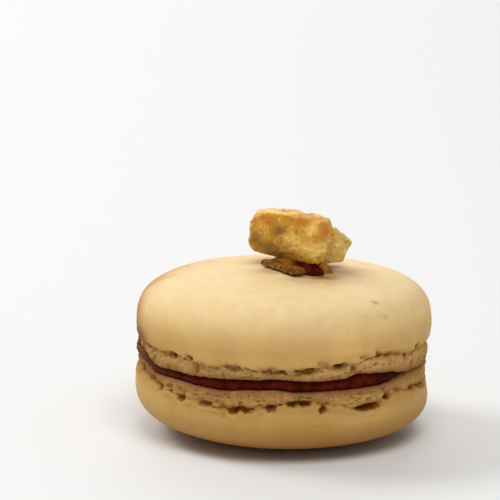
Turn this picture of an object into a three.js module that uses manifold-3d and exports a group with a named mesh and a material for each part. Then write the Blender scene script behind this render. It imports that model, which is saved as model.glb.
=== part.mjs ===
// French macaron: two almond meringue shells with frilled feet, a thin layer of dark chocolate ganache between
// them, and pieces of caramel praline set in a dab of the same ganache on top.
//
// Millimetres, +Z up, the macaron lying on the flat middle of its bottom shell. The origin is on that resting
// face, below the middle of the top shell. The front faces -Y, and angles are in degrees from the front to +X.
import * as THREE from "three";
import { mergeVertices } from "three/addons/utils/BufferGeometryUtils.js";
import Module from "manifold-3d";

// Driving dimensions.
const FILLING = 1.8; // thickness of the ganache layer
const BOTTOM_FACE = 11.15; // height of the bottom shell's flat crumb face
const TOP_FACE = BOTTOM_FACE + FILLING;
const SETTING_GAP = 0.3; // between the praline and the ganache that it is set in
const CLEARANCE = 0.1; // between the top shell and the dab that lies on it

// Each shell is measured from its flat crumb face (rise 0) towards the top of its dome.
// Its rim, where it meets the filling, sags past the crumb face by [angle, sag].
// Its pockets, the open bubbles where foot and skin meet, are [angle, width, rise, depth].
const TOP_SHELL = {
  face: TOP_FACE,
  up: 1,
  middle: 0, // x of its axis
  belly: 22.5, // radius at its widest
  bellyRise: 2.9,
  domeHeight: 8.75, // above the belly
  domeCut: 8.75, // how much of the dome there is
  domeFullness: 3.8, // 2 is an ellipse, more is flatter on top with rounder shoulders
  lean: 0.008, // rise of the dome towards +X
  drift: 0, // shift of the dome towards +X with its rise
  mound: 0.6, // low peak where the batter was piped
  foot: 21.7, // radius of the frilled foot
  footRise: 2, // where the foot meets the skin
  tuck: 0.45, // how far the skin draws in above the foot
  seed: 11,
  rim: [[-95, -0.5], [-73, -0.6], [-61, 0.8], [-46, 0.65], [-33, 0.55], [-12, 0.15], [-3, -0.15], [14, 0.2],
    [24, 0.15], [30, -0.5], [37, -0.25], [48, 0.15], [53, 0.6], [60, 0.9], [120, 0.9], [140, 0.1], [180, 0.2]],
  pockets: [[-66, 2.6, 2.1, 0.45], [-48.5, 1.6, 2.2, 0.9], [-39, 1.2, 2.3, 0.8], [-36, 1, 0.9, 0.5],
    [-20, 2.6, 1.6, 0.8], [-3.5, 3.6, 1.4, 0.8], [8.5, 3, 1.35, 0.9], [15.5, 1.8, 2.3, 0.5], [22.5, 2.1, 2.1, 1.1],
    [28.5, 1, 1.1, 0.6], [32, 1.3, 2.9, 0.4], [40, 1.5, 2.9, 0.8], [45.5, 2.6, 2.7, 0.5], [56, 1.1, 1.9, 0.8]],
};
const BOTTOM_SHELL = {
  face: BOTTOM_FACE,
  up: -1,
  middle: -0.4,
  belly: 22.25,
  bellyRise: 3.9,
  domeHeight: 7.35,
  domeCut: 7.25, // the rest is flattened, where the shell was baked and now lies
  domeFullness: 2.85,
  lean: 0,
  drift: 0.13,
  mound: 0,
  foot: 21.75,
  footRise: 2.3,
  tuck: 0.2,
  seed: 29,
  rim: [[-95, 0.8], [-73, 0.95], [-61, -0.2], [-46, -0.05], [-34, -0.35], [-25, -0.6], [-12, 0.05], [-3, 0.25],
    [7, -0.2], [42, -0.25], [48, -0.05], [53, 0.3], [60, 0.75], [120, 0.75], [140, 0], [180, 0.1]],
  pockets: [[-92, 3.4, 0.9, 0.5], [-81, 2, 0.8, 0.6], [-72, 2.2, 0.8, 0.6], [-61, 1.5, 0.7, 0.6],
    [-55, 1.1, 1.7, 0.8], [-43, 1.7, 2.35, 0.9], [-31, 2.1, 2.5, 0.7], [-22.5, 0.9, 3.6, 0.5], [-16, 3.4, 2.85, 1.2],
    [-3.5, 1.7, 2.3, 0.9], [8.5, 4.4, 1.7, 1.1], [17, 1.1, 2.6, 1.3], [37, 4, 3.1, 1.4], [46.5, 1.6, 2.1, 1.1],
    [53, 1.7, 1.7, 0.6]],
};

// The frilled foot, on both shells.
const FOOT_STEPS = 168; // points around a foot, 0.8 mm apart
const DOME_STEPS = 84; // points around the smooth skin
const FRILLS = 64; // lumps around a foot, about 2.1 mm each
const FRILL = 0.26; // how far they stand in and out
const SEAM = { depth: 0.15, width: 0.25 }; // groove between foot and skin
const LIP = { depth: 0.12, width: 0.3, rise: 0.5 }; // bead along the skin's lower edge
const RIM = { radius: 19.4, rounding: 0.55, reach: 1.7 }; // where it starts to sag, its edge, how far up it is felt
const POCKET_HEIGHT = 0.48; // half the height of a pocket
const LOT = { from: 64, to: 260, step: [5, 12], width: [0.9, 3.2], shift: [-0.4, 0.5], depth: [0.5, 1.2] };

const GANACHE = { edge: 21.1, recess: 0.9, bulge: 1.25, bulgeAt: -93, bulgeSpread: 30, wander: 0.25, gap: 0.12 };

// A broken piece of praline is bounded by flat faces round its middle: [x, y, z of the face's normal, distance].
// In its own frame x is its length, -y its front and z its height.
const BLOCK = {
  name: "praline_block",
  size: [12.6, 4.4, 7],
  steps: [9, 4, 5],
  place: [1.1, 0.9, 30.2],
  turn: [0, 0, -30], // degrees about x, y and z
  colour: 0xc8923f,
  faces: [
    [-0.01, 0.03, 1, 3.35], // top
    [0.1, 0, 1, 3.42], // top, lower towards the right
    [-0.06, 0, -1, 3.55], // underside, higher at the left
    [-1, 0, 0.14, 6.6], // left end
    [1, -0.1, -0.12, 5.9], // right end
    [0.03, -1, 0.06, 2.2], // front, upper half
    [-0.04, -1, -0.16, 2.3], // front, lower half
    [0, 1, 0.05, 2.15], // back
    [-0.7, -0.2, 0.75, 5.95], // corners broken off
    [0.66, 0, 0.75, 6.05],
    [-0.66, 0, -0.75, 6.95],
    [-0.8, 0.6, 0, 6],
    [0.75, -0.66, -0.1, 5.4],
  ],
};
const SHARD = {
  name: "praline_shard",
  size: [4.6, 2.4, 4.8],
  steps: [5, 3, 5],
  place: [7.55, 3.1, 28.15],
  turn: [0, 0, 0],
  colour: 0xc9a65a,
  faces: [
    [0.625, 0, 0.781, 2.15], // these two meet in its point
    [0.894, 0.05, -0.447, 2.15],
    [-0.33, 0, 0.94, 2.6],
    [-1, 0.1, 0, 2.1],
    [0.06, 0.05, -1, 2.45],
    [0.12, -1, 0.1, 1.15],
    [0.05, 1, 0.05, 1.2],
  ],
};
const CHIP = {
  name: "praline_chip",
  size: [10, 2.2, 0.9],
  steps: [9, 3, 2],
  place: [-0.1, -2, 25.85],
  turn: [0, -1, -58],
  colour: 0x8a5a2b,
  faces: [
    [0, 0.05, 1, 0.42],
    [0, 0, -1, 0.4],
    [0.05, -1, 0.2, 1.05],
    [0, 1, 0.2, 1.15],
    [-1, -0.35, 0.1, 5.5],
    [1, -0.2, 0.1, 4.2],
    [-0.5, 0.85, 0, 3],
  ],
};
const FACE_SHARPNESS = 18; // how crisp the edges between a broken piece's faces are
const DAB = { x: 1.7, y: -0.65, length: 5.5, width: 2.6, turn: -35, height: 1.7, lumps: 8, wander: 0.14, seed: 3 };

const COLOURS = { shell: 0xf0d9a8, ganache: 0x2e0f0a };

const wasm = await Module();
wasm.setup();

const radians = THREE.MathUtils.degToRad;
const fade = (t) => THREE.MathUtils.smoothstep(t, 0, 1);

// The turn between two angles, from -180 to 180 degrees.
const turnBetween = (angle, other) => ((((angle - other + 180) % 360) + 360) % 360) - 180;

// Numbers between two others, the same ones for the same seed.
function drawByLot(seed) {
  let state = seed;
  return (low, high) => {
    state = (state * 48271) % 2147483647;
    return low + (high - low) * (state / 2147483647);
  };
}

// Smooth noise from -1 to 1 over a lattice that closes on itself after a number of columns.
function noise(column, row, columns, seed) {
  const at = (i, j) => {
    const wave = Math.sin((((i % columns) + columns) % columns) * 127.1 + j * 311.7 + seed * 74.7) * 43758.5453;
    return 2 * (wave - Math.floor(wave)) - 1;
  };
  const [i, j] = [Math.floor(column), Math.floor(row)];
  const [u, v] = [fade(column - i), fade(row - j)];
  const low = at(i, j) * (1 - u) + at(i + 1, j) * u;
  const high = at(i, j + 1) * (1 - u) + at(i + 1, j + 1) * u;
  return low * (1 - v) + high * v;
}

// The share by which a hand-piped outline is wider at an angle than a circle.
function outOfRound(angle, seed) {
  const turn = radians(angle);
  return 0.004 * Math.cos(2 * turn + seed) + 0.003 * Math.cos(3 * turn + 2 * seed) + 0.002 * Math.cos(5 * turn);
}

// How far a shell's rim sags past its crumb face at an angle.
function rimSag(shell, angle) {
  const marks = shell.rim;
  const wrapped = turnBetween(angle, 0);
  const next = Math.max(marks.findIndex(([at]) => at > wrapped), 0);
  const [to, sagTo] = marks[next];
  const [from, sagFrom] = marks[(next + marks.length - 1) % marks.length];
  const share = ((wrapped - from + 360) % 360) / ((to - from + 360) % 360);
  return sagFrom + (sagTo - sagFrom) * fade(share);
}

// How far a shell's crumb face sags at a distance from the axis: not at all in the middle, fully at the rim.
function crumbSag(shell, angle, distance) {
  const fromAxis = distance - shell.middle * Math.sin(radians(angle));
  const share = (fromAxis - RIM.radius) / (shell.foot - RIM.rounding - RIM.radius);
  return rimSag(shell, angle) * THREE.MathUtils.clamp(share, 0, 1);
}

// All the pockets of a foot: those given for the front, and the rest by lot round the sides and the back.
function pocketsOf(shell) {
  const lot = drawByLot(shell.seed * 1009);
  const pockets = [...shell.pockets];
  for (let at = LOT.from; at < LOT.to; at += lot(...LOT.step)) {
    pockets.push([at, lot(...LOT.width), shell.footRise + lot(...LOT.shift), lot(...LOT.depth)]);
  }
  return pockets;
}

// Where the foot meets the skin at an angle: the seam runs through the pockets.
function seamRise(shell, pockets, angle) {
  let [sum, weight] = [shell.footRise * 0.5, 0.5];
  for (const [at, width, rise] of pockets) {
    const pull = width * Math.exp(-((turnBetween(angle, at) / 7) ** 2));
    sum += pull * rise;
    weight += pull;
  }
  return sum / weight;
}

// The skin's distance from the axis at a rise above the crumb face.
function skinRadius(shell, seam, rise) {
  const top = shell.bellyRise + LIP.rise + 1;
  const share = Math.max(rise - shell.bellyRise, 0) / shell.domeHeight;
  const drawnIn = shell.tuck * Math.max((top - rise) / (top - seam), 0) ** 1.8;
  return shell.belly * (1 - share ** shell.domeFullness) ** (1 / shell.domeFullness) - drawnIn;
}

// The side wall's distance from the axis at an angle and a rise.
function wallRadius(shell, pockets, seam, angle, rise) {
  const around = (angle / 360) * FRILLS;
  const onSkin = fade((rise - seam + 0.1) / 0.4);
  let radius = shell.foot + (skinRadius(shell, seam, rise) - shell.foot) * onSkin;
  radius += LIP.depth * Math.exp(-(((rise - seam - LIP.rise) / LIP.width) ** 2));
  radius -= SEAM.depth * Math.exp(-(((rise - seam) / SEAM.width) ** 2));
  const inward = Math.max(1 - rise / RIM.rounding, 0);
  radius -= RIM.rounding * (1 - Math.sqrt(1 - inward ** 2));
  radius *= 1 + outOfRound(angle, shell.seed);
  const coarse = noise(around, rise / 0.9, FRILLS, shell.seed);
  const broad = noise(around / 2, rise / 1.6 + 7, FRILLS / 2, shell.seed);
  radius += FRILL * (1 - onSkin) * (0.65 * coarse + 0.35 * broad);
  for (const [at, width, pocketRise, depth] of pockets) {
    const across = Math.abs((radians(turnBetween(angle, at)) * shell.foot * 2) / width);
    const along = (rise - pocketRise) / POCKET_HEIGHT;
    if (across < 2) radius -= depth * Math.exp(-(across ** 3) - along ** 2);
  }
  return radius;
}

// A shell's dome above its crumb face, at a distance from its axis.
function domeRise(shell, distance) {
  const share = Math.min(distance / shell.belly, 1) ** shell.domeFullness;
  const dome = shell.domeHeight * (1 - share) ** (1 / shell.domeFullness);
  const mound = shell.mound * Math.exp(-((distance / 6.5) ** 2));
  return shell.bellyRise + Math.min(dome, shell.domeCut) + mound;
}

// A point from its angle, distance from the macaron's axis and height.
const polar = (angle, distance, z) => [distance * Math.sin(radians(angle)), -distance * Math.cos(radians(angle)), z];

// A point of a shell from its angle, distance from the axis and rise above the crumb face.
function shellPoint(shell, angle, distance, rise) {
  const [x, y] = polar(angle, distance, 0);
  const aboveBelly = Math.max(rise - shell.bellyRise, 0);
  const leaning = (shell.lean * x * Math.min(rise, shell.bellyRise)) / shell.bellyRise;
  return [shell.middle + x + shell.drift * aboveBelly, y, shell.face + shell.up * (rise + leaning)];
}

const anglesOf = (count) => Array.from({ length: count }, (_, i) => (i * 360) / count);

// A closed surface through rings of points, from a middle point before the first to one after the last.
// Two neighbouring rings may have different numbers of points.
function closedRings(rings, first, last) {
  const points = [first];
  const index = [];
  let [lower, lowerCount] = [0, 1];
  for (const ring of [...rings, [last]]) {
    const upper = points.length;
    points.push(...ring);
    let [i, j] = [0, 0];
    while (i < lowerCount || j < ring.length) {
      const onLower = lower + (i % lowerCount);
      const onUpper = upper + (j % ring.length);
      const stepLower = j >= ring.length || (i < lowerCount && (i + 1) / lowerCount <= (j + 1) / ring.length);
      const step = stepLower ? lower + ((i + 1) % lowerCount) : upper + ((j + 1) % ring.length);
      if (step !== onLower && step !== onUpper) index.push(onLower, step, onUpper);
      if (stepLower) i++;
      else j++;
    }
    [lower, lowerCount] = [upper, ring.length];
  }
  const geometry = new THREE.BufferGeometry();
  geometry.setAttribute("position", new THREE.Float32BufferAttribute(points.flat(), 3));
  geometry.setIndex(index);
  return geometry;
}

// The rings of a shell's side, from the crumb face across the foot and onto the skin.
function wallRings(shell, pockets) {
  const FOOT_STATIONS = [0, 0.1, 0.26, 0.44, 0.6, 0.76, 0.9, 1]; // shares of the way from rim to seam
  const SKIN_STATIONS = [0.14, 0.35, 0.65, 1]; // shares of the way from seam to dome
  const ring = (riseAt) =>
    anglesOf(FOOT_STEPS).map((angle) => {
      const seam = seamRise(shell, pockets, angle);
      const rise = riseAt(seam);
      const sag = rimSag(shell, angle) * fade(1 - rise / RIM.reach);
      return shellPoint(shell, angle, wallRadius(shell, pockets, seam, angle, rise), rise - sag);
    });
  const domeFrom = shell.bellyRise + 1;
  const flat = anglesOf(DOME_STEPS).map((angle) => polar(angle, RIM.radius, shell.face));
  const foot = FOOT_STATIONS.map((share) => ring((seam) => seam * share));
  const skin = SKIN_STATIONS.map((share) => ring((seam) => seam + (domeFrom - seam) * share));
  return [flat, ...foot, ...skin];
}

// The rings of a shell's dome above its side, equal turns apart.
function domeRings(shell) {
  const RINGS = 7;
  const turnAt = (height) => Math.asin((height / shell.domeHeight) ** (shell.domeFullness / 2));
  const from = turnAt(2);
  const to = Math.min(turnAt(Math.min(shell.domeCut, shell.domeHeight)), radians(86));
  return Array.from({ length: RINGS }, (_, i) => {
    const turn = from + ((to - from) * i) / (RINGS - 1);
    const distance = shell.belly * Math.cos(turn) ** (2 / shell.domeFullness);
    const rise = domeRise(shell, distance);
    return anglesOf(DOME_STEPS).map((angle) =>
      shellPoint(shell, angle, distance * (1 + outOfRound(angle, shell.seed)), rise),
    );
  });
}

function shellGeometry(shell) {
  const rings = [...wallRings(shell, pocketsOf(shell)), ...domeRings(shell)];
  const crumb = polar(0, 0, shell.face);
  const crown = shellPoint(shell, 0, 0, domeRise(shell, 0));
  return shell.up > 0 ? closedRings(rings, crumb, crown) : closedRings(rings.reverse(), crown, crumb);
}

// The ganache fills the space between the two rims and comes out a little at the left.
function ganacheGeometry() {
  const STATIONS = [[-0.7, 0], [-0.15, 0.16], [0, 0.5], [-0.15, 0.84], [-0.7, 1]]; // [outwards, share of the height]
  const { edge, recess, bulge, bulgeAt, bulgeSpread, wander, gap } = GANACHE;
  const ring = (pointAt) => anglesOf(DOME_STEPS).map(pointAt);
  const side = STATIONS.map(([out, share]) =>
    ring((angle) => {
      const open = FILLING - rimSag(BOTTOM_SHELL, angle) - rimSag(TOP_SHELL, angle);
      const closing = fade((FILLING * 0.6 - open) / (FILLING * 0.5));
      const pushed = bulge * Math.exp(-((turnBetween(angle, bulgeAt) / bulgeSpread) ** 2));
      const uneven = wander * noise(angle / 15, share, 24, 5);
      const distance = edge + out + pushed + uneven - recess * closing;
      const low = BOTTOM_FACE + crumbSag(BOTTOM_SHELL, angle, distance) + gap;
      const high = TOP_FACE - crumbSag(TOP_SHELL, angle, distance) - gap;
      return polar(angle, distance, THREE.MathUtils.lerp(low, high, share));
    }),
  );
  const flats = [BOTTOM_FACE, TOP_FACE].map((z) => ring((angle) => polar(angle, RIM.radius, z)));
  return closedRings([flats[0], ...side, flats[1]], [0, 0, BOTTOM_FACE], [0, 0, TOP_FACE]);
}

// A geometry without normals or seams, so that its points can be moved one by one.
function bare(geometry) {
  geometry.deleteAttribute("normal");
  geometry.deleteAttribute("uv");
  return mergeVertices(geometry, 1e-5);
}

// A broken piece: each point of a box moves along its ray to the nearest flat face, all of them moved out by swell.
function brokenGeometry(piece, swell = 0) {
  const geometry = bare(new THREE.BoxGeometry(...piece.size, ...piece.steps));
  const position = geometry.getAttribute("position");
  for (let i = 0; i < position.count; i++) {
    const point = new THREE.Vector3().fromBufferAttribute(position, i);
    let sum = 0;
    for (const [x, y, z, distance] of piece.faces) {
      const reached = (point.x * x + point.y * y + point.z * z) / Math.hypot(x, y, z) / (distance + swell);
      sum += Math.max(reached, 0) ** FACE_SHARPNESS;
    }
    point.multiplyScalar(sum ** (-1 / FACE_SHARPNESS));
    position.setXYZ(i, point.x, point.y, point.z);
  }
  return geometry;
}

function placeOf(piece) {
  const turn = new THREE.Euler(...piece.turn.map(radians), "ZYX");
  return new THREE.Matrix4().makeRotationFromEuler(turn).setPosition(...piece.place);
}

// The dab before the praline is pressed into it: a low drop with a flat foot that follows the dome.
function dropGeometry() {
  const geometry = bare(new THREE.IcosahedronGeometry(1, 4));
  const position = geometry.getAttribute("position");
  const turn = radians(DAB.turn);
  for (let i = 0; i < position.count; i++) {
    const [u, v, w] = [position.getX(i), position.getY(i), position.getZ(i)];
    const around = (Math.atan2(v, u) / (2 * Math.PI)) * DAB.lumps;
    const spread = 1 + DAB.wander * noise(around, 0.5, DAB.lumps, DAB.seed);
    const [along, across] = [u * DAB.length * spread, v * DAB.width * spread];
    const x = DAB.x + along * Math.cos(turn) - across * Math.sin(turn);
    const y = DAB.y + along * Math.sin(turn) + across * Math.cos(turn);
    const ground = TOP_SHELL.face + domeRise(TOP_SHELL, Math.hypot(x, y)) + TOP_SHELL.lean * x;
    position.setXYZ(i, x, y, ground + CLEARANCE + DAB.height * Math.max(w, 0.03 * w));
  }
  return geometry;
}

function solidOf(geometry) {
  const vertProperties = new Float32Array(geometry.getAttribute("position").array);
  const triVerts = new Uint32Array(geometry.index.array);
  return new wasm.Manifold(new wasm.Mesh({ numProp: 3, vertProperties, triVerts }));
}

function geometryOf(solid) {
  const mesh = solid.getMesh();
  const geometry = new THREE.BufferGeometry();
  geometry.setAttribute("position", new THREE.BufferAttribute(mesh.vertProperties, 3));
  geometry.setIndex(new THREE.BufferAttribute(mesh.triVerts, 1));
  return geometry;
}

// The dab, with the shapes of the praline pressed into it.
function dabGeometry() {
  let dab = solidOf(dropGeometry());
  for (const piece of [BLOCK, SHARD, CHIP]) {
    dab = dab.subtract(solidOf(brokenGeometry(piece, SETTING_GAP).applyMatrix4(placeOf(piece))));
  }
  const bodies = dab.decompose();
  return geometryOf(bodies.sort((a, b) => b.volume() - a.volume())[0]);
}

function named(name, geometry, colour, roughness) {
  const mesh = new THREE.Mesh(geometry, new THREE.MeshStandardMaterial({ color: colour, roughness, metalness: 0 }));
  mesh.name = name;
  return mesh;
}

const macaron = new THREE.Group();
macaron.add(
  named("bottom_shell", shellGeometry(BOTTOM_SHELL), COLOURS.shell, 0.65),
  named("filling", ganacheGeometry(), COLOURS.ganache, 0.4),
  named("top_shell", shellGeometry(TOP_SHELL), COLOURS.shell, 0.6),
  named("ganache_dab", dabGeometry(), COLOURS.ganache, 0.3),
);
for (const piece of [BLOCK, SHARD, CHIP]) {
  const mesh = named(piece.name, brokenGeometry(piece), piece.colour, 0.35);
  mesh.applyMatrix4(placeOf(piece));
  macaron.add(mesh);
}

export default macaron;
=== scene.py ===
"""A french macaron: two almond meringue shells, a chocolate ganache layer and caramel praline on top.

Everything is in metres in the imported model's frame, but sizes are given in millimetres and turned to
metres where a mesh is made. The macaron lies on its bottom shell, its front faces -Y, and angles are in
degrees from the front towards +X.
"""

from __future__ import annotations

import logging
import math
from dataclasses import dataclass, field
from enum import Enum
from typing import Any, Callable, Sequence

import bpy
import numpy as np
from mathutils import Matrix, Vector

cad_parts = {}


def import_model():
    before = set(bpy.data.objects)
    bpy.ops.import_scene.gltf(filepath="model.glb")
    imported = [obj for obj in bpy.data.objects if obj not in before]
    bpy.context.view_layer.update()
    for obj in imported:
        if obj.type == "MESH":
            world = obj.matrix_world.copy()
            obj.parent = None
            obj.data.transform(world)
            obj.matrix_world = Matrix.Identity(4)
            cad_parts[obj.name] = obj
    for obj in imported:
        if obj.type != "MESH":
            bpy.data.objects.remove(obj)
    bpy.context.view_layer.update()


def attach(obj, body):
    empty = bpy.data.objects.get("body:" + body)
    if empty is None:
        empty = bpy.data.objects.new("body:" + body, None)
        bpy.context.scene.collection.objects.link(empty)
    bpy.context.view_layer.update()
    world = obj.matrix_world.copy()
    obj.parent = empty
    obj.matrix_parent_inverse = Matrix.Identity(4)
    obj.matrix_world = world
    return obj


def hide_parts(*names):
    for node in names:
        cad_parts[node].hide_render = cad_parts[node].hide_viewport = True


LOG = logging.getLogger("macaron")
MM = 0.001
BODY = "root"
Array = np.ndarray
Tree = bpy.types.NodeTree
Socket = bpy.types.NodeSocket
Parts = dict[Any, Any]  # what the properties and inputs of a node get
LATTICE_WAVES = (127.1, 311.7, 74.7)  # unrelated numbers, so that a lattice's points look drawn by lot
LATTICE_HEIGHT = 43758.5453
LAYER_STEP = 57.0  # sets the layers of a lattice through space apart
CELL_MARGIN = 0.15  # how near to a cell's border its point may lie


# --- numbers --------------------------------------------------------------------------------------------


def linear(colour: str) -> tuple[float, float, float, float]:
    """Turns an sRGB hex colour to the linear values that shaders use.

    Args:
        colour: six hex digits, such as "f0d9a8".

    Returns:
        Linear red, green and blue, and an alpha of 1.
    """
    parts = [int(colour[i : i + 2], 16) / 255 for i in (0, 2, 4)]
    red, green, blue = [c / 12.92 if c <= 0.04045 else ((c + 0.055) / 1.055) ** 2.4 for c in parts]
    return red, green, blue, 1.0


def fade(value: Array | float) -> Array | float:
    """Goes smoothly from 0 to 1 as value does."""
    t = np.clip(value, 0, 1)
    return t * t * (3 - 2 * t)


def ramp(value: Array | float, start: float, end: float) -> Array | float:
    """Goes smoothly from 0 to 1 as value goes from start to end, which may be the smaller one."""
    return fade((value - start) / (end - start))


def bell(value: Array | float, width: float) -> Array | float:
    """A bell curve, 1 where value is 0."""
    return np.exp(-((value / width) ** 2))


def turn_between(angle: Array | float, other: Array | float) -> Array | float:
    """The turn from one angle to another, from -180 to 180 degrees."""
    return (angle - other + 180) % 360 - 180


def lattice(column: Array, row: Array, seed: float) -> Array:
    """A fixed number from 0 to 1 for each point of a lattice.

    Args:
        column: number of each point's column.
        row: number of its row.
        seed: another seed gives other numbers.

    Returns:
        One number for each point.
    """
    across, along, apart = LATTICE_WAVES
    wave = np.sin(column * across + row * along + seed * apart) * LATTICE_HEIGHT
    return wave - np.floor(wave)


def noise(column: Array, row: Array | float, columns: int, seed: float) -> Array:
    """Smooth noise over a lattice that closes on itself after a number of columns.

    Args:
        column: place round the lattice, in cells.
        row: place up the lattice, in cells.
        columns: number of cells round it.
        seed: another seed gives another pattern.

    Returns:
        Values from -1 to 1.
    """
    i, j = np.floor(column), np.floor(row)
    u, v = fade(column - i), fade(row - j)
    corner = [[2 * lattice((i + di) % columns, j + dj, seed) - 1 for di in (0, 1)] for dj in (0, 1)]
    low = corner[0][0] * (1 - u) + corner[0][1] * u
    high = corner[1][0] * (1 - u) + corner[1][1] * u
    return low * (1 - v) + high * v


def cells(column: Array, row: Array, columns: int, seed: float) -> tuple[Array, Array]:
    """Finds the nearest of one jittered point in each cell of a lattice, as in a froth of bubbles.

    Args:
        column: place round the lattice, in cells.
        row: place up the lattice, in cells.
        columns: number of cells round it.
        seed: another seed gives another froth.

    Returns:
        Distance to the nearest point in cells, and a fixed number from 0 to 1 for that point.
    """
    i, j = np.floor(column), np.floor(row)
    nearest = np.full(np.broadcast(column, row).shape, 9.0)
    mark = np.zeros_like(nearest)
    for di in (-1, 0, 1):
        for dj in (-1, 0, 1):
            a, b = (i + di) % columns, j + dj
            x = i + di + CELL_MARGIN + (1 - 2 * CELL_MARGIN) * lattice(a, b, seed)
            y = b + CELL_MARGIN + (1 - 2 * CELL_MARGIN) * lattice(a, b, seed + 0.37)
            away = np.hypot(column - x, row - y)
            mark = np.where(away < nearest, lattice(a, b, seed + 0.71), mark)
            nearest = np.minimum(away, nearest)
    return nearest, mark


def fragments(points: Array, size: float, seed: float) -> tuple[Array, Array, Array]:
    """Splits space into irregular fragments, as chopped nuts lie in caramel.

    Args:
        points: places in millimetres, one in each row.
        size: width of a fragment in millimetres.
        seed: another seed gives other fragments.

    Returns:
        A fixed number from 0 to 1 for each point's fragment, the distance to its border in millimetres, and
        the way from its middle in millimetres.
    """
    cell = np.floor(points / size)
    nearest, second, mark = (np.full(len(points), value) for value in (9.0, 9.0, 0.0))
    way = np.zeros_like(points)
    for step in np.ndindex(3, 3, 3):
        at = cell + np.array(step) - 1
        column = at[:, 0] + LAYER_STEP * at[:, 2]
        middle = at + np.stack([lattice(column, at[:, 1], seed + part) for part in (0.1, 0.4, 0.8)], axis=1)
        away = np.linalg.norm(points / size - middle, axis=1)
        closer = away < nearest
        mark = np.where(closer, lattice(column, at[:, 1], seed + 0.6), mark)
        way = np.where(closer[:, None], points - middle * size, way)
        second = np.minimum(second, np.maximum(away, nearest))
        nearest = np.minimum(nearest, away)
    return mark, (second - nearest) / 2 * size, way


def solid_noise(points: Array, size: float, seed: float) -> Array:
    """Smooth noise from -1 to 1 through space.

    Args:
        points: places in millimetres, one in each row.
        size: width of a lump in millimetres.
        seed: another seed gives another pattern.

    Returns:
        One value for each point.
    """
    cell = np.floor(points / size)
    part = fade(points / size - cell)
    total = np.zeros(len(points))
    for corner in np.ndindex(2, 2, 2):
        at = cell + np.array(corner)
        weight = np.prod(np.where(np.array(corner) == 1, part, 1 - part), axis=1)
        total += weight * (2 * lattice(at[:, 0] + LAYER_STEP * at[:, 2], at[:, 1], seed) - 1)
    return total


class Lot:
    """Numbers drawn by lot, the same ones for the same seed."""

    FACTOR = 48271
    PRIME = 2147483647

    def __init__(self, seed: int) -> None:
        """Starts from a seed."""
        self.state = seed

    def draw(self, low: float, high: float) -> float:
        """Draws a number between low and high."""
        self.state = (self.state * self.FACTOR) % self.PRIME
        return low + (high - low) * (self.state / self.PRIME)


# --- meshes ---------------------------------------------------------------------------------------------


class Rings:
    """A surface through rings of points, each with as many as the one before, or half or twice as many."""

    def __init__(self) -> None:
        """Starts with no rings."""
        self.rings: list[Array] = []
        self.marks: dict[str, list[Array]] = {}

    def add(self, points: Array, **marks: Array | float) -> None:
        """Adds a ring.

        Args:
            points: its points in millimetres, one in each row; a single point closes the surface.
            marks: named values at its points, which materials read.
        """
        self.rings.append(points)
        for name in set(self.marks) | set(marks):
            filled = self.marks.setdefault(name, [np.zeros(len(r)) for r in self.rings[:-1]])
            filled.append(np.broadcast_to(marks.get(name, 0.0), len(points)).astype(float))

    @staticmethod
    def between(low: Array, high: Array) -> list[list[int]]:
        """Lists the faces between the numbers of two rings' points.

        Args:
            low: point numbers of the lower ring.
            high: point numbers of the upper one.

        Returns:
            The point numbers of each face.
        """
        if len(low) < len(high):
            return [face[::-1] for face in Rings.between(high, low)]
        low_next, high_next = np.roll(low, -1), np.roll(high, -1)
        if len(high) == 1:
            return np.stack([low, low_next, np.full_like(low, high[0])], axis=1).tolist()
        if len(low) == len(high):
            return np.stack([low, low_next, high_next, high], axis=1).tolist()
        narrow = np.stack([low[::2], low[1::2], high], axis=1)
        wide = np.stack([low[1::2], low_next[1::2], high_next, high], axis=1)
        return narrow.tolist() + wide.tolist()

    def mesh(self, name: str) -> bpy.types.Object:
        """Makes the object.

        Args:
            name: name of the object and its mesh.

        Returns:
            The object, linked to the scene and shaded smooth.
        """
        starts = np.cumsum([0] + [len(r) for r in self.rings])
        numbers = [np.arange(a, b) for a, b in zip(starts[:-1], starts[1:])]
        faces = [face for a, b in zip(numbers[:-1], numbers[1:]) for face in self.between(a, b)]
        marks = {key: np.concatenate(values) for key, values in self.marks.items()}
        return make_object(name, np.concatenate(self.rings), faces, marks)


def make_object(
    name: str, points: Array, faces: list[list[int]], marks: dict[str, Array]
) -> bpy.types.Object:
    """Makes a smooth mesh object.

    Args:
        name: name of the object and its mesh.
        points: places in millimetres, one in each row.
        faces: point numbers of each face.
        marks: named values at the points, which materials read.

    Returns:
        The object, linked to the scene.
    """
    mesh = bpy.data.meshes.new(name)
    mesh.from_pydata((points * MM).tolist(), [], faces)
    for key, values in marks.items():
        mesh.attributes.new(key, "FLOAT", "POINT").data.foreach_set("value", values.astype(np.float32))
    mesh.shade_smooth()
    mesh.update()
    made = bpy.data.objects.new(name, mesh)
    bpy.context.scene.collection.objects.link(made)
    return made


def polar(angle: Array, distance: Array | float, height: Array | float) -> Array:
    """Turns angles, distances from the axis and heights to points.

    Args:
        angle: in degrees from the front.
        distance: from the axis.
        height: above the ground.

    Returns:
        Places in millimetres, one in each row.
    """
    turn = np.radians(angle)
    x, y = distance * np.sin(turn), -distance * np.cos(turn)
    return np.stack([x, y, np.broadcast_to(height, x.shape)], axis=1)


# --- finishes -------------------------------------------------------------------------------------------


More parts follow.
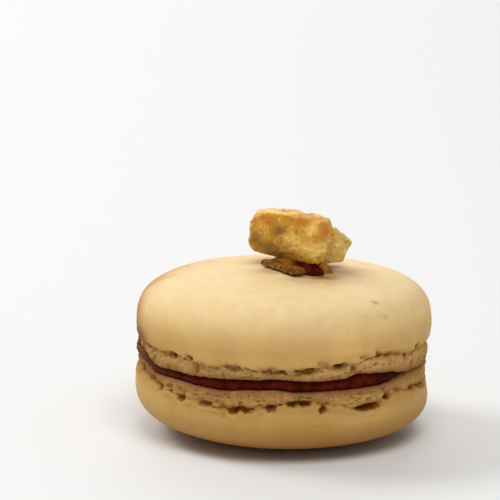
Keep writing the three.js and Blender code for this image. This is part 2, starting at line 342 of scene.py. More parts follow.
def add_node(tree: Tree, kind: str, parts: Parts) -> bpy.types.Node:
    """Adds a node to a material, with its settings and links.

    Args:
        tree: the material's node tree.
        kind: the node's type, such as "ShaderNodeTexNoise".
        parts: what each property or input gets, by its name or by an input's number: a value, an sRGB hex
            colour, an output socket, or a node for its first output.

    Returns:
        The node.
    """
    node = tree.nodes.new(kind)
    for key, part in parts.items():
        source = part.outputs[0] if isinstance(part, bpy.types.Node) else part
        if isinstance(key, str) and hasattr(node, key):
            setattr(node, key, part)
        elif isinstance(source, Socket):
            tree.links.new(source, node.inputs[key])
        else:
            node.inputs[key].default_value = linear(part) if isinstance(part, str) else part
    return node


def clouds(size: float, place: Socket) -> Parts:
    """What a noise node takes to make clouds with lumps of a size in millimetres."""
    return {"Scale": 1 / (size * MM), "Detail": 3.0, "Vector": place}


def between(low: float, high: float, most: float = 1.0) -> Parts:
    """What a map range node takes to go smoothly from 0 to most as its value goes from low to high."""
    return {"From Min": low, "From Max": high, "To Max": most, "interpolation_type": "SMOOTHSTEP"}


@dataclass(frozen=True)
class Patches:
    """Cloudy patches through a solid."""

    size_mm: float
    low: float  # value of the clouds at which a patch begins
    high: float  # value at which it is full
    most: float = 1.0  # how much a full patch shows

    def nodes(self, tree: Tree, place: Socket) -> bpy.types.Node:
        """Makes nodes that say where the patches are.

        Args:
            tree: the material's node tree.
            place: coordinates on the piece.

        Returns:
            The last node, which gives how much a patch shows.
        """
        cloud = add_node(tree, "ShaderNodeTexNoise", clouds(self.size_mm, place))
        stretch = between(self.low, self.high, self.most)
        return add_node(tree, "ShaderNodeMapRange", stretch | {"Value": cloud})


@dataclass(frozen=True)
class Grains:
    """Grains scattered through a solid: it is split into cells, and each holds one or none."""

    cell_mm: float
    lot: tuple[float, float]  # a cell's number by lot, from an empty one to one with a full grain
    edge: tuple[float, float]  # a grain's border from outside to inside, in cells from its middle
    most: float  # how much a grain shows

    def nodes(self, tree: Tree, place: Socket) -> bpy.types.Node:
        """Makes nodes that say where the grains are.

        Args:
            tree: the material's node tree.
            place: coordinates on the piece.

        Returns:
            The last node, which gives how much a grain shows.
        """
        split = add_node(tree, "ShaderNodeTexVoronoi", {"Scale": 1 / (self.cell_mm * MM), "Vector": place})
        number = add_node(tree, "ShaderNodeSeparateColor", {0: split.outputs["Color"]})
        full = add_node(tree, "ShaderNodeMapRange", between(*self.lot) | {"Value": number})
        inside = add_node(tree, "ShaderNodeMapRange", between(*self.edge, self.most) | {"Value": split})
        return add_node(tree, "ShaderNodeMath", {"operation": "MULTIPLY", 0: full, 1: inside})


@dataclass(frozen=True)
class Finish:
    """What every finish has: its name and the typical values it starts from."""

    name: str
    roughness: float
    ior: float

    def material(self) -> bpy.types.Material:
        """Gives the material, made on first use.

        Returns:
            The material.
        """
        known = bpy.data.materials.get(self.name)
        if known:
            return known
        made = bpy.data.materials.new(self.name)
        made.use_nodes = True
        tree = made.node_tree
        tree.nodes.clear()
        place = add_node(tree, "ShaderNodeTexCoord", {}).outputs["Object"]
        parts = {"IOR": self.ior} | self.surface(tree, place)
        shader = add_node(tree, "ShaderNodeBsdfPrincipled", parts)
        add_node(tree, "ShaderNodeOutputMaterial", {"Surface": shader})
        return made

    def surface(self, tree: Tree, place: Socket) -> Parts:
        """Makes the nodes behind the shader.

        Args:
            tree: the material's node tree.
            place: coordinates on the piece.

        Returns:
            What each input of the shader gets.
        """
        raise NotImplementedError

    def dress(self, piece: bpy.types.Object) -> None:
        """Gives the material to a piece."""
        piece.data.materials.clear()
        piece.data.materials.append(self.material())

    @staticmethod
    def layered(tree: Tree, colour: Any, layers: Sequence[tuple[Any, Any]]) -> Socket:
        """Lays colours over one another.

        Args:
            tree: the material's node tree.
            colour: the lowest colour, an sRGB hex value or a socket.
            layers: for each further one, where it shows, and the colour.

        Returns:
            The socket that gives the result.
        """
        for share, shade in layers:
            # Inputs 6 and 7 of a mix node are its colours, and output 2 is the mixed one.
            parts = {"data_type": "RGBA", 0: share, 6: colour, 7: shade}
            colour = add_node(tree, "ShaderNodeMix", parts).outputs[2]
        return colour


@dataclass(frozen=True)
class BakedMeringue(Finish):
    """Almond meringue, piped and baked until it is dry outside.

    The eye sees a smooth, pale cream skin with a satin sheen, which the paler crown partly paints in, and
    tiny flecks of ground almond, and below it a foot of torn, toasted froth, darker inside its open
    bubbles, as crumb colour with painted shade, and stained where it touches the ganache.
    Painted shade also lies along the seam and on the low skin, and painted shadow with oil stains round the
    topping.
    """

    # The crown colour is partly the skin's own paler tone and partly a painted sheen of the light from
    # above.
    crown: str = "e9ce9b"
    skin: str = "e7be72"
    skin_warm: str = "d8ab65"
    # Browner skin on one side, and on the bottom shell a browned base with painted shade towards the board.
    toasted_and_shaded: str = "b87a18"
    foot: str = "d0a160"
    foot_pale: str = "dcb67a"
    # Colour of the open bubbles, crumb with painted shade; it also paints shade along the seam and on the
    # low skin, and the dome's specks.
    hole: str = "a07432"
    # Colour of deep pockets, crumb with painted shade, and of the ganache stain with painted shade at the
    # wiped edge.
    pit: str = "7e4c16"
    # Colour of the painted shadow of the topping on the dome, with its oil and chocolate stains.
    oil: str = "84490c"
    stain: str = "966644"
    fleck: str = "a87a3c"
    # Real ground almond is finer still: these flecks of about 0.4 mm are the smallest that show.
    flecks: Grains = Grains(1.35, lot=(0.62, 0.9), edge=(0.15, 0.075), most=0.3)
    browning: Patches = Patches(7.0, 0.35, 0.7)
    mottle: Patches = Patches(1.8, 0.35, 0.75, 0.22)  # where the batter dried unevenly
    crumb: Patches = Patches(0.8, 0.3, 0.72)  # the paler crumbs of the foot
    smudge: Patches = Patches(1.4, 0.1, 0.5)  # where the ganache stained it more
    grain_mm: float = 0.3  # sugar and almond grain under the skin
    grain_high_mm: float = 0.1
    foot_roughness: float = 0.8
    shine: tuple[float, float] = (0.16, 0.03)  # of the clean skin, and where it is torn, toasted or oily, or painted with shade or shadow
    relief: tuple[float, float] = (0.16, 0.6)  # of the grain on the skin and on the foot
    subsurface: float = 0.1

    def surface(self, tree: Tree, place: Socket) -> Parts:
        """Makes the nodes behind the shader.

        Args:
            tree: the material's node tree.
            place: coordinates on the piece.

        Returns:
            What each input of the shader gets.
        """
        mark = {
            name: add_node(tree, "ShaderNodeAttribute", {"attribute_name": name}).outputs["Fac"]
            for name in ("crown", "oil", "toast", "foot", "stain", "hole", "speck", "pit")
        }
        crumbs = self.layered(tree, self.foot, [(self.crumb.nodes(tree, place), self.foot_pale)])
        stained = {"operation": "MULTIPLY", 0: mark["stain"], 1: self.smudge.nodes(tree, place)}
        layers = [
            (self.browning.nodes(tree, place), self.skin_warm),
            # Paler crown: the skin's own tone with a painted sheen.
            (mark["crown"], self.crown),
            (self.mottle.nodes(tree, place), self.skin_warm),
            (self.flecks.nodes(tree, place), self.fleck),
            # Painted shadow of the topping, with oil and chocolate stains.
            (mark["oil"], self.oil),
            # Browner side, and painted shade low on the bottom shell.
            (mark["toast"], self.toasted_and_shaded),
            (mark["foot"], crumbs),
            (add_node(tree, "ShaderNodeMath", stained), self.stain),
            # Open bubbles in crumb colour with painted shade, and painted shade along the seam and on the
            # low skin.
            (mark["hole"], self.hole),
            (mark["speck"], self.hole),
            # Deep pockets and the wiped edge: crumb and ganache with painted shade.
            (mark["pit"], self.pit),
        ]
        dull = mark["foot"]
        for name in ("toast", "oil"):
            dull = add_node(tree, "ShaderNodeMath", {"operation": "MAXIMUM", 0: dull, 1: mark[name]})
        rough, shine, relief = [
            add_node(tree, "ShaderNodeMapRange", {"To Min": smooth, "To Max": worn, "Value": where})
            for smooth, worn, where in (
                (self.roughness, self.foot_roughness, mark["foot"]),
                (*self.shine, dull),
                (*self.relief, mark["foot"]),
            )
        ]
        grain = add_node(tree, "ShaderNodeTexNoise", clouds(self.grain_mm, place))
        bump = {"Distance": self.grain_high_mm * MM, "Height": grain, "Strength": relief}
        return {
            "Base Color": self.layered(tree, self.skin, layers),
            "Roughness": rough,
            "Specular IOR Level": shine,
            "Normal": add_node(tree, "ShaderNodeBump", bump),
            "Subsurface Weight": self.subsurface,
            "Subsurface Radius": (1.0, 0.6, 0.3),
            "Subsurface Scale": 1.0 * MM,
        }


class GanacheCoat(Enum):
    """How thick the ganache lies, as (surface, streak) colours."""

    LAYER = ("5c1805", "400e03")
    SMEAR = ("6c4212", "482806")
    DAB = ("560c02", "380602")


@dataclass(frozen=True)
class DarkGanache(Finish):
    """Dark chocolate and cream, stirred and left to set.

    The eye sees a nearly black, reddish brown with a soft gloss and small smears where it was spread.
    """

    coat: GanacheCoat = GanacheCoat.LAYER
    thin: str = "70451a"  # where it was wiped thin, or where caramel ran into it
    smear_mm: float = 1.6
    streaks: tuple[float, float] = (0.35, 0.65)  # values of the smears between which streaks grow
    polish: tuple[float, float] = (-0.08, 0.15)  # how much smoother and rougher smears are
    grain_mm: float = 0.45
    grain_high_mm: float = 0.1
    grain_strength: float = 0.6
    shine: float = 0.05

    def surface(self, tree: Tree, place: Socket) -> Parts:
        """Makes the nodes behind the shader.

        Args:
            tree: the material's node tree.
            place: coordinates on the piece.

        Returns:
            What each input of the shader gets.
        """
        smear = add_node(tree, "ShaderNodeTexNoise", clouds(self.smear_mm, place) | {"Distortion": 0.6})
        streaks = add_node(tree, "ShaderNodeMapRange", between(*self.streaks) | {"Value": smear})
        thin = add_node(tree, "ShaderNodeAttribute", {"attribute_name": "thin"}).outputs["Fac"]
        surface, streak = self.coat.value
        smooth, rough = [self.roughness + change for change in self.polish]
        polish = {"To Min": smooth, "To Max": rough, "Value": smear}
        grain = add_node(tree, "ShaderNodeTexNoise", clouds(self.grain_mm, place))
        bump = {"Distance": self.grain_high_mm * MM, "Strength": self.grain_strength, "Height": grain}
        return {
            "Base Color": self.layered(tree, surface, [(streaks, streak), (thin, self.thin)]),
            "Roughness": add_node(tree, "ShaderNodeMapRange", polish),
            "Specular IOR Level": self.shine,
            "Normal": add_node(tree, "ShaderNodeBump", bump),
        }


class Tone(Enum):
    """Patches of a praline piece's colour, by the name of their values on the mesh: amber and olive tones
    of the cooked sugar, darker burnt caramel with painted shade along the bottom, and bright patches that
    are painted highlights.
    """

    AMBER = "amber"
    OLIVE = "olive"
    PAINTED_HIGHLIGHT = "bright"
    BURNT_AND_SHADED = "burnt"


class Toasting(Enum):
    """How far the sugar of a piece was cooked: its gold, and a colour for each tone, whose bright one also
    paints the highlights.
    """

    GOLDEN = ("dba036", "ca7f1a", "8e661e", "fad67c", "6a4206")
    PALE = ("dcb860", "c89a3a", "b39a48", "f0da96", "8e7028")
    DARK = ("7a4e10", "643c06", "563c0c", "a87a30", "3a2204")


@dataclass(frozen=True)
class CaramelPraline(Finish):
    """Sugar cooked to caramel, set round chopped nuts and broken up cold.

    The eye sees mottled amber with deeper orange and pale milky patches, a glassy gloss on the broken
    faces, and light running a little way into the edges.
    """

    toasting: Toasting = Toasting.GOLDEN
    shine: float = 0.4
    nuts: Grains = Grains(1.5, lot=(0.5, 0.7), edge=(0.55, 0.25), most=0.6)
    streak_mm: float = 1.2  # cloudy streaks in the caramel
    milky: tuple[float, float] = (0.54, 0.7)  # values of the streaks between which milky ones grow
    cooked: tuple[float, float] = (0.47, 0.28)  # values between which darker ones do
    mottle: tuple[float, float] = (0.7, 1.2)  # how much the streaks weaken and strengthen a tone
    stir_mm: float = 0.9  # waves in the borders of the nuts
    stirred_mm: float = 1.35  # how far those waves move them
    grit_mm: float = 0.5
    grit_high_mm: float = 0.12
    grit_strength: float = 0.5
    rougher: float = 0.3  # how much rougher the grit can be

    def surface(self, tree: Tree, place: Socket) -> Parts:
        """Makes the nodes behind the shader.

        Args:
            tree: the material's node tree.
            place: coordinates on the piece.

        Returns:
            What each input of the shader gets.
        """
        wavy = {"Roughness": 0.62, "Distortion": 0.9}
        streaks = add_node(tree, "ShaderNodeTexNoise", clouds(self.streak_mm, place) | wavy)
        milky, cooked = [
            add_node(tree, "ShaderNodeMapRange", between(*values) | {"Value": streaks})
            for values in (self.milky, self.cooked)
        ]
        least, most = self.mottle
        mottled = add_node(tree, "ShaderNodeMapRange", {"To Min": least, "To Max": most, "Value": streaks})
        stir = add_node(tree, "ShaderNodeTexNoise", clouds(self.stir_mm, place)).outputs["Color"]
        move = {"operation": "SCALE", "Scale": self.stirred_mm * MM, 0: stir}
        stirred = {"operation": "ADD", 0: place, 1: add_node(tree, "ShaderNodeVectorMath", move)}
        nuts = self.nuts.nodes(tree, add_node(tree, "ShaderNodeVectorMath", stirred).outputs[0])
        gold, amber, olive, bright, burnt = self.toasting.value
        layers = [(milky, bright), (cooked, olive), (nuts, bright)]
        # The bright tone paints highlights, and the burnt tone paints shade along the bottom.
        for tone, shade in zip(Tone, (amber, olive, bright, burnt)):
            mark = add_node(tree, "ShaderNodeAttribute", {"attribute_name": tone.value}).outputs["Fac"]
            share = add_node(tree, "ShaderNodeMath", {"operation": "MULTIPLY", 0: mark, 1: mottled})
            layers.append((share, shade))
        grit = add_node(tree, "ShaderNodeTexNoise", clouds(self.grit_mm, place))
        rough = {"To Min": self.roughness, "To Max": self.roughness + self.rougher, "Value": grit}
        bump = {"Distance": self.grit_high_mm * MM, "Strength": self.grit_strength, "Height": grit}
        return {
            "Base Color": self.layered(tree, gold, layers),
            "Roughness": add_node(tree, "ShaderNodeMapRange", rough),
            "Normal": add_node(tree, "ShaderNodeBump", bump),
            "Subsurface Weight": 0.1,
            "Subsurface Radius": (1.0, 0.75, 0.3),
            "Subsurface Scale": 1.0 * MM,
            "Specular IOR Level": self.shine,
            "Coat Weight": self.shine / 2,
            "Coat Roughness": 0.2,
        }


@dataclass(frozen=True)
class PaintedBoard(Finish):
    """A board painted matt white, rolled smooth, which the eye sees as plain and even."""

    colour: str = "e5e5e5"
    tooth_mm: float = 1.2
    tooth_high_mm: float = 0.02
    tooth_strength: float = 0.2

    def surface(self, tree: Tree, place: Socket) -> Parts:
        """Makes the nodes behind the shader.

        Args:
            tree: the material's node tree.
            place: coordinates on the piece.

        Returns:
            What each input of the shader gets.
        """
        tooth = add_node(tree, "ShaderNodeTexNoise", {"Scale": 1 / (self.tooth_mm * MM), "Vector": place})
        bump = {"Distance": self.tooth_high_mm * MM, "Strength": self.tooth_strength, "Height": tooth}
        normal = add_node(tree, "ShaderNodeBump", bump)
        return {"Base Color": self.colour, "Roughness": self.roughness, "Normal": normal}


MERINGUE = BakedMeringue("baked_almond_meringue", roughness=0.55, ior=1.45)
# A darker copy of the meringue for the bottom shell: a little more baked, with the shade that it sits in
# painted into its colours.
SHADED_LOWER_MERINGUE = BakedMeringue(
    "well_baked_and_shaded_almond_meringue",
    roughness=0.5,
    ior=1.45,
    skin="cca560",
    skin_warm="c19752",
    toasted_and_shaded="a06a2c",
    foot="b98b4b",
    foot_pale="c69f60",
)
GANACHE = DarkGanache("set_dark_ganache", roughness=0.55, ior=1.47)
THIN_GANACHE = DarkGanache("thin_smeared_ganache", roughness=0.5, ior=1.47, coat=GanacheCoat.SMEAR)
DAB_GANACHE = DarkGanache(
    "dab_of_dark_ganache", roughness=0.5, ior=1.47, coat=GanacheCoat.DAB, thin="8a5319"
)
GOLDEN_PRALINE = CaramelPraline("golden_broken_praline", roughness=0.3, ior=1.5, shine=0.24)
PALE_PRALINE = CaramelPraline("pale_broken_praline", roughness=0.22, ior=1.5, toasting=Toasting.PALE)
DARK_PRALINE = CaramelPraline(
    "dark_broken_praline", roughness=0.45, ior=1.5, toasting=Toasting.DARK, shine=0.06
)
BOARD = PaintedBoard("matt_painted_board", roughness=0.7, ior=1.45)


# --- the shells -----------------------------------------------------------------------------------------


@dataclass(frozen=True)
class Pocket:
    """An open bubble where foot and skin meet: its angle, and its other sizes in millimetres."""

    angle: float
    width: float
    rise: float
    depth: float
    ragged: float = 1.5  # how torn its edge is
    height: float = 0.48  # half of it

    def hollow(self, away: Array, rise: Array, big: Array, small: Array) -> Array:
        """How far inside the pocket points are.

        Args:
            away: their distance from its middle along the wall.
            rise: their rise above the crumb face.
            big: coarse noise, which bends its edge.
            small: fine noise, which frays it.

        Returns:
            Values from 0 outside to 1 in its middle.
        """
        # A power above 2 squares its outline off a little.
        across = np.abs(away * 2 / self.width)
        along = np.abs((rise - self.rise) / self.height + 0.4 * self.ragged * big)
        frayed = self.ragged * (0.4 * big + 0.35 * small)
        return np.exp(-np.maximum(across**2.4 + along**2.2 + frayed, 0) * 0.9)

    def shade(self, hollow: Array) -> Array:
        """How dark the pocket is drawn, as crumb colour with painted shade: a clean-edged one all over, and
        a shallow one less.
        """
        steep = 2.5 + 1.6 * max(1 - self.ragged, 0)
        return fade(hollow * steep - 0.6) * min(max(1.1 * self.depth - 0.15, 0.15), 1)


@dataclass(frozen=True)
class Bubbles:
    """One size of bubbles in the foot's froth, in millimetres."""

    width: float
    height: float
    share: float  # of them that have burst open
    swell: float = 0.0
    depth: float = 0.0
    least: float = 0.25  # radius of the smallest open one, in bubbles
    spread: float = 0.3  # how much larger the largest is
    steep: float = 1.6  # how steep its wall is
    sway: float = 1.3  # how far the rows wander


FROTH = (
    Bubbles(width=1.9, height=1.15, share=0.22, swell=0.15, depth=0.38),
    Bubbles(width=1.05, height=0.75, share=0.3, swell=0.1, depth=0.26),
    Bubbles(width=0.55, height=0.45, share=0.35, swell=0.05, depth=0.16),
)
SEAM_BUBBLES = (
    Bubbles(width=1.25, height=0.85, share=0.62, least=0.3, spread=0.32, steep=2.2, sway=1.0),
    Bubbles(width=0.7, height=0.5, share=0.5, least=0.3, spread=0.32, steep=2.2, sway=1.0),
)


@dataclass(frozen=True)
class Ripple:
    """Noise round a shell's wall: its height, the size of its lumps in millimetres, and its seed."""

    height: float
    size: float
    seed: float


SKIN_EDGE = (Ripple(0.2, 1.3, 2), Ripple(0.12, 0.5, 3))
FROTH_SWAY = (Ripple(0.3, 1.1, 20),)
FROTH_GRIT = (Ripple(0.04, 0.32, 5),)
SEAM_SWAY = (Ripple(0.25, 0.7, 33),)
SEAM_SHARE = (Ripple(0.7, 4.5, 34),)
SEAM_BROWNING_AND_SHADE = (Ripple(0.6, 1.6, 32),)
POCKET_BENDS = (Ripple(1, 0.85, 8),)
POCKET_FRAY = (Ripple(1, 0.4, 9),)
OVEN_CLOUDS = (Ripple(0.6, 5.5, 61), Ripple(0.4, 2.2, 62))


@dataclass
class Shell:
    """A macaron shell, measured from its flat crumb face (rise 0) towards its dome, in millimetres."""

    name: str
    node: str
    face: float  # height of the crumb face
    up: float  # 1 with the dome on top, -1 with it below
    middle: float  # x of the axis
    belly: float  # radius at its widest
    belly_rise: float
    dome_height: float
    dome_cut: float  # height at which the dome is cut flat
    fullness: float  # of the dome: 2 is an ellipse
    lean: float  # how far it rises towards +X, in millimetres for each one across
    drift: float  # how far the dome shifts towards +X, for each millimetre of its rise
    mound: float  # how far the crown swells up
    foot: float  # radius of the frilled foot
    foot_rise: float
    tuck: float  # how far the skin draws in above the foot
    seed: int
    rim: Sequence[tuple[float, ...]]  # (angle, how far the rim sags past the crumb face)
    front: Sequence[Pocket]
    specks: Sequence[tuple[float, ...]] = ()  # (angle, distance from the axis, size, strength)
    oil: Sequence[tuple[float, ...]] = ()  # (x, y, half width, half depth, strength) of each spot of painted shadow and oil
    columns: int = 1280
    frills: int = 64
    frill: float = 0.26  # how far a frill stands out
    seam_depth: float = 0.1  # of the line between foot and skin
    seam_width: float = 0.22
    lip_depth: float = 0.08  # how far the edge of the skin stands out
    lip_rise: float = 0.45
    lip_width: float = 0.3
    burst_depth: float = 0.3  # of the small open bubbles along the seam
    rim_radius: float = 19.4
    rounding: float = 0.55  # of the rim
    reach: float = 1.7  # how far up the rim's sagging goes
    browner_side: float = -62.0  # where the side that is drawn browner begins
    wiped_side: float = -94.0  # where ganache was wiped up
    smooth_side: float = 62.0  # where fewer bubbles burst
    waves: Sequence[tuple[float, ...]] = ((2, 0.004, 1), (3, 0.003, 2), (5, 0.002, 0))
    rounded_rows: int = 7
    foot_rows: int = 23
    skin_rows: int = 21
    shoulder_rows: int = 26
    dome_start: float = 1.05  # how far past the belly the dome's rows begin
    shoulder: float = 0.8  # share of the belly's radius at which its flat part begins
    flat_step: float = 0.4
    thinning: tuple[float, float] = (11, 5)  # distances from the axis at which every second column ends
    behind: tuple[float, float] = (64.0, 260.0)  # from which angle to which pockets lie by lot
    pockets: list[Pocket] = field(default_factory=list)

    def __post_init__(self) -> None:
        """Adds the pockets round the sides and the back, by lot."""
        lot = Lot(self.seed * 1009)
        self.pockets = list(self.front)
        at, end = self.behind
        while at < end:
            width, shift, depth = lot.draw(0.9, 3.2), lot.draw(-0.4, 0.5), lot.draw(0.5, 1.2)
            self.pockets.append(Pocket(at, width, self.foot_rise + shift, depth))
            at += lot.draw(5, 12)

    # How the outline goes.

    def out_of_round(self, angle: Array) -> Array:
        """The share by which the hand-piped outline is wider than a circle."""
        turn = np.radians(angle)
        return sum(high * np.cos(times * turn + start * self.seed) for times, high, start in self.waves)

    def rim_sag(self, angle: Array) -> Array:
        """How far the rim sags past the crumb face.

        Args:
            angle: in degrees from the front.

        Returns:
            The sag at each angle, below 0 where the rim draws back.
        """
        at, sag = np.array(self.rim, float).T
        wrapped = turn_between(angle, 0)
        following = np.searchsorted(at, wrapped, side="right") % len(at)
        before = (following - 1) % len(at)
        share = ((wrapped - at[before]) % 360) / ((at[following] - at[before]) % 360)
        return sag[before] + (sag[following] - sag[before]) * fade(share)

    def seam(self, angle: Array) -> Array:
        """Where the foot meets the skin: the seam runs through the pockets.

        Args:
            angle: in degrees from the front.

        Returns:
            Its rise above the crumb face at each angle.
        """
        total, weight = self.foot_rise * 0.5, 0.5
        for pocket in self.pockets:
            pull = pocket.width * bell(turn_between(angle, pocket.angle), 7)
            total = total + pull * pocket.rise
            weight = weight + pull
        return total / weight

    def skin_radius(self, seam: Array, rise: Array) -> Array:
        """The skin's distance from the axis.

        Args:
            seam: rise of the seam.
            rise: above the crumb face.

        Returns:
            The distance at each point.
        """
        top = self.belly_rise + 1.5
        share = np.maximum(rise - self.belly_rise, 0) / self.dome_height
        drawn_in = self.tuck * np.maximum((top - rise) / (top - seam), 0) ** 1.8
        return self.belly * (1 - share**self.fullness) ** (1 / self.fullness) - drawn_in

    def dome_rise(self, distance: Array) -> Array:
        """The dome's rise above the crumb face.

        Args:
            distance: from the axis.

        Returns:
            The rise at each distance.
        """
        share = np.minimum(distance / self.belly, 1) ** self.fullness
        dome = self.dome_height * (1 - share) ** (1 / self.fullness)
        return self.belly_rise + np.minimum(dome, self.dome_cut) + self.mound * bell(distance, 6.5)

    def place(self, angle: Array, distance: Array | float, rise: Array | float) -> Array:
        """Places points on the shell, which leans and drifts a little.

        Args:
            angle: in degrees from the front.
            distance: from the axis.
            rise: above the crumb face.

        Returns:
            Places in millimetres, one in each row.
        """
        points = polar(angle, distance, 0)
        leaning = self.lean * points[:, 0] * np.minimum(rise, self.belly_rise) / self.belly_rise
        points[:, 2] = self.face + self.up * (rise + leaning)
        points[:, 0] += self.middle + self.drift * np.maximum(rise - self.belly_rise, 0)
        return points

    # How the foot is torn.

    def rippled(self, ripples: Sequence[Ripple], angle: Array, rise: Array | float) -> Array:
        """The sum of some ripples at points of the wall.

        Args:
            ripples: what to add up.
            angle: in degrees from the front.
            rise: above the crumb face.

        Returns:
            The sum at each point.
        """
        total = np.zeros(np.shape(angle))
        for ripple in ripples:
            count = round(math.tau * self.foot / ripple.size)
            column, row, seed = angle % 360 / 360 * count, rise / ripple.size, self.seed + ripple.seed
            total = total + ripple.height * noise(column, row, count, seed)
        return total

    def bubbles(
        self, angle: Array, rise: Array, kind: Bubbles, warp: Array, seed: float
    ) -> tuple[Array, Array]:
        """Finds the bubbles of one size round the wall.

        Args:
            angle: in degrees.
            rise: above the crumb face.
            kind: their size.
            warp: how far their rows and columns wander, in bubbles.
            seed: another seed gives other bubbles.

        Returns:
            Distance from the nearest bubble's middle, and how far inside an open one, from 0 to 1.
        """
        count = round(math.tau * self.foot / kind.width)
        column = angle % 360 / 360 * count + warp
        away, mark = cells(column, rise / kind.height + kind.sway * warp, count, self.seed + seed)
        inside = np.clip(1 - away / (kind.least + kind.spread * mark / kind.share), 0, 1)
        return away, fade(kind.steep * inside) * (mark < kind.share)

    def froth(self, angle: Array, rise: Array) -> tuple[Array, Array]:
        """The torn foam of the foot.

        Args:
            angle: in degrees.
            rise: above the crumb face.

        Returns:
            How far it stands out, and how much of an open bubble it is, from 0 to 1.
        """
        out, opened = np.zeros_like(rise), np.zeros_like(rise)
        warp = self.rippled(FROTH_SWAY, angle, rise)
        for kind in FROTH:
            away, hole = self.bubbles(angle, rise, kind, warp, kind.width)
            out += kind.swell * (1 - (away / 0.6) ** 2) - kind.depth * hole
            opened = np.maximum(opened, hole * kind.depth / FROTH[0].depth)
        return out + self.rippled(FROTH_GRIT, angle, rise), opened

    def burst(self, angle: Array, rise: Array, past: Array) -> Array:
        """The chain of small open bubbles along the seam.

        Args:
            angle: in degrees.
            rise: above the crumb face.
            past: rise past the seam.

        Returns:
            How far inside a bubble each point is, from 0 to 1.
        """
        inside = np.zeros_like(rise)
        warp = self.rippled(SEAM_SWAY, angle, rise)
        for kind in SEAM_BUBBLES:
            hole = self.bubbles(angle, rise, kind, warp, 3 * kind.width)[1]
            inside = np.maximum(inside, hole * np.exp(-((np.abs(past + 0.15) / 0.62) ** 3)))
        some = np.clip(0.6 + self.rippled(SEAM_SHARE, angle, 0.5), 0.1, 1)
        return inside * some * (1 - 0.6 * bell(turn_between(angle, self.smooth_side), 24))

    def torn(self, angle: Array, rise: Array) -> tuple[Array, Array]:
        """The open pockets, whose edges are torn.

        Args:
            angle: in degrees.
            rise: above the crumb face.

        Returns:
            Their depth, and how dark they are drawn, as crumb colour with painted shade, from 0 to 1.
        """
        big, small = [self.rippled(kind, angle, rise) for kind in (POCKET_BENDS, POCKET_FRAY)]
        depth, dark = np.zeros_like(big), np.zeros_like(big)
        for pocket in self.pockets:
            away = np.radians(turn_between(angle, pocket.angle)) * self.foot
            hollow = pocket.hollow(away, rise, big, small)
            depth = np.maximum(depth, 1.05 * pocket.depth * hollow * (1 + 0.3 * small))
            dark = np.maximum(dark, pocket.shade(hollow))
        return depth, dark

    def wall(self, angle: Array, seam: Array, rise: Array) -> tuple[Array, dict[str, Array]]:
        """The side wall.

        Args:
            angle: in degrees.
            seam: rise of the seam at each angle.
            rise: above the crumb face.

        Returns:
            Distance from the axis, and the values that the material reads.
        """
        ragged = self.rippled(SKIN_EDGE, angle, 0.5)
        past = rise - seam
        on_skin = ramp(past - ragged, -0.1, 0.16)
        radius = self.foot + (self.skin_radius(seam, rise) - self.foot) * on_skin
        radius = radius + self.lip_depth * bell(past - ragged - self.lip_rise, self.lip_width)
        radius = radius - self.seam_depth * bell(past - ragged, self.seam_width)
        inward = np.maximum(1 - rise / self.rounding, 0)
        radius = radius - self.rounding * (1 - np.sqrt(1 - inward**2))
        radius = radius * (1 + self.out_of_round(angle))
        around = angle % 360 / 360 * self.frills
        coarse = noise(around, rise / 0.9, self.frills, self.seed)
        broad = noise(around / 2, rise / 1.6 + 7, self.frills // 2, self.seed)
        radius = radius + self.frill * (1 - on_skin) * (0.65 * coarse + 0.35 * broad)
        near_seam = bell(past, 0.9)
        showing = np.maximum(1 - on_skin, 0.35 * near_seam)
        out, opened = self.froth(angle, rise)
        burst = self.burst(angle, rise, past)
        torn, dark = self.torn(angle, rise)
        # Browned crumb with painted shade along the seam, under the skin's edge.
        browned_and_shaded_seam = 0.3 * bell(past, 1.1) * (1 + self.rippled(SEAM_BROWNING_AND_SHADE, angle, rise))
        marks = {
            "foot": np.maximum(1 - on_skin, 0.45 * near_seam),
            "hole": np.maximum(0.75 * opened * showing, np.maximum(0.95 * burst, browned_and_shaded_seam)),
            "pit": dark,
            "stain": (1 - on_skin) * bell(rise, 0.85),
        }
        return radius + out * showing - self.burst_depth * burst - torn, marks

    # How the skin is coloured.

    def toast(self, angle: Array, rise: Array) -> Array:
        """How much browner the skin is drawn: on the top shell's left side round towards the back, and on
        the bottom shell towards the board, a browned base with painted shade.

        Args:
            angle: in degrees from the front.
            rise: above the crumb face.

        Returns:
            One value for each point, 0 where there is none.
        """
        past = rise - self.belly_rise
        if self.up < 0:
            # On the bottom shell this is a browned base with painted shade, deepening towards the board.
            return 0.7 * ramp(past, -0.5, 6)
        cloud = self.rippled(OVEN_CLOUDS, angle, rise)
        behind = 5 * cloud - turn_between(angle, self.browner_side)  # degrees past where it begins
        drawn_back = behind - 3.5 * np.maximum(past - 3, 0)  # it begins later further up
        side = 0.85 * ramp(drawn_back, 0, 25) * (1 + 0.35 * cloud) * ramp(past - 0.5 * cloud, 8.9, 7.1)
        low = 0.5 * ramp(behind, -16, 14) * ramp(past, 2.6, 0)
        return np.maximum(side, low) * ramp(behind, 98, 28)

    def smudged_and_shaded(self, angle: Array, rise: Array) -> Array:
        """How much darker the low skin of the top shell is drawn: painted shade towards the seam all round,
        and more near where the ganache was wiped up, as a smudge with painted shade.

        Args:
            angle: in degrees from the front.
            rise: above the crumb face.

        Returns:
            One value for each point, 0 where there is none.
        """
        away = np.abs(turn_between(angle, self.wiped_side))
        past = rise - self.belly_rise
        # A ganache smudge with painted shade near the wiped side, and painted shade low on the skin all
        # round.
        smudge = 0.4 * ramp(away, 30, 16) * ramp(past, 2.8, 0.2)
        low = (0.2 + 0.18 * ramp(away, 66, 42)) * ramp(past, 4.6, 1.6)
        return (smudge + low) * (self.up > 0)

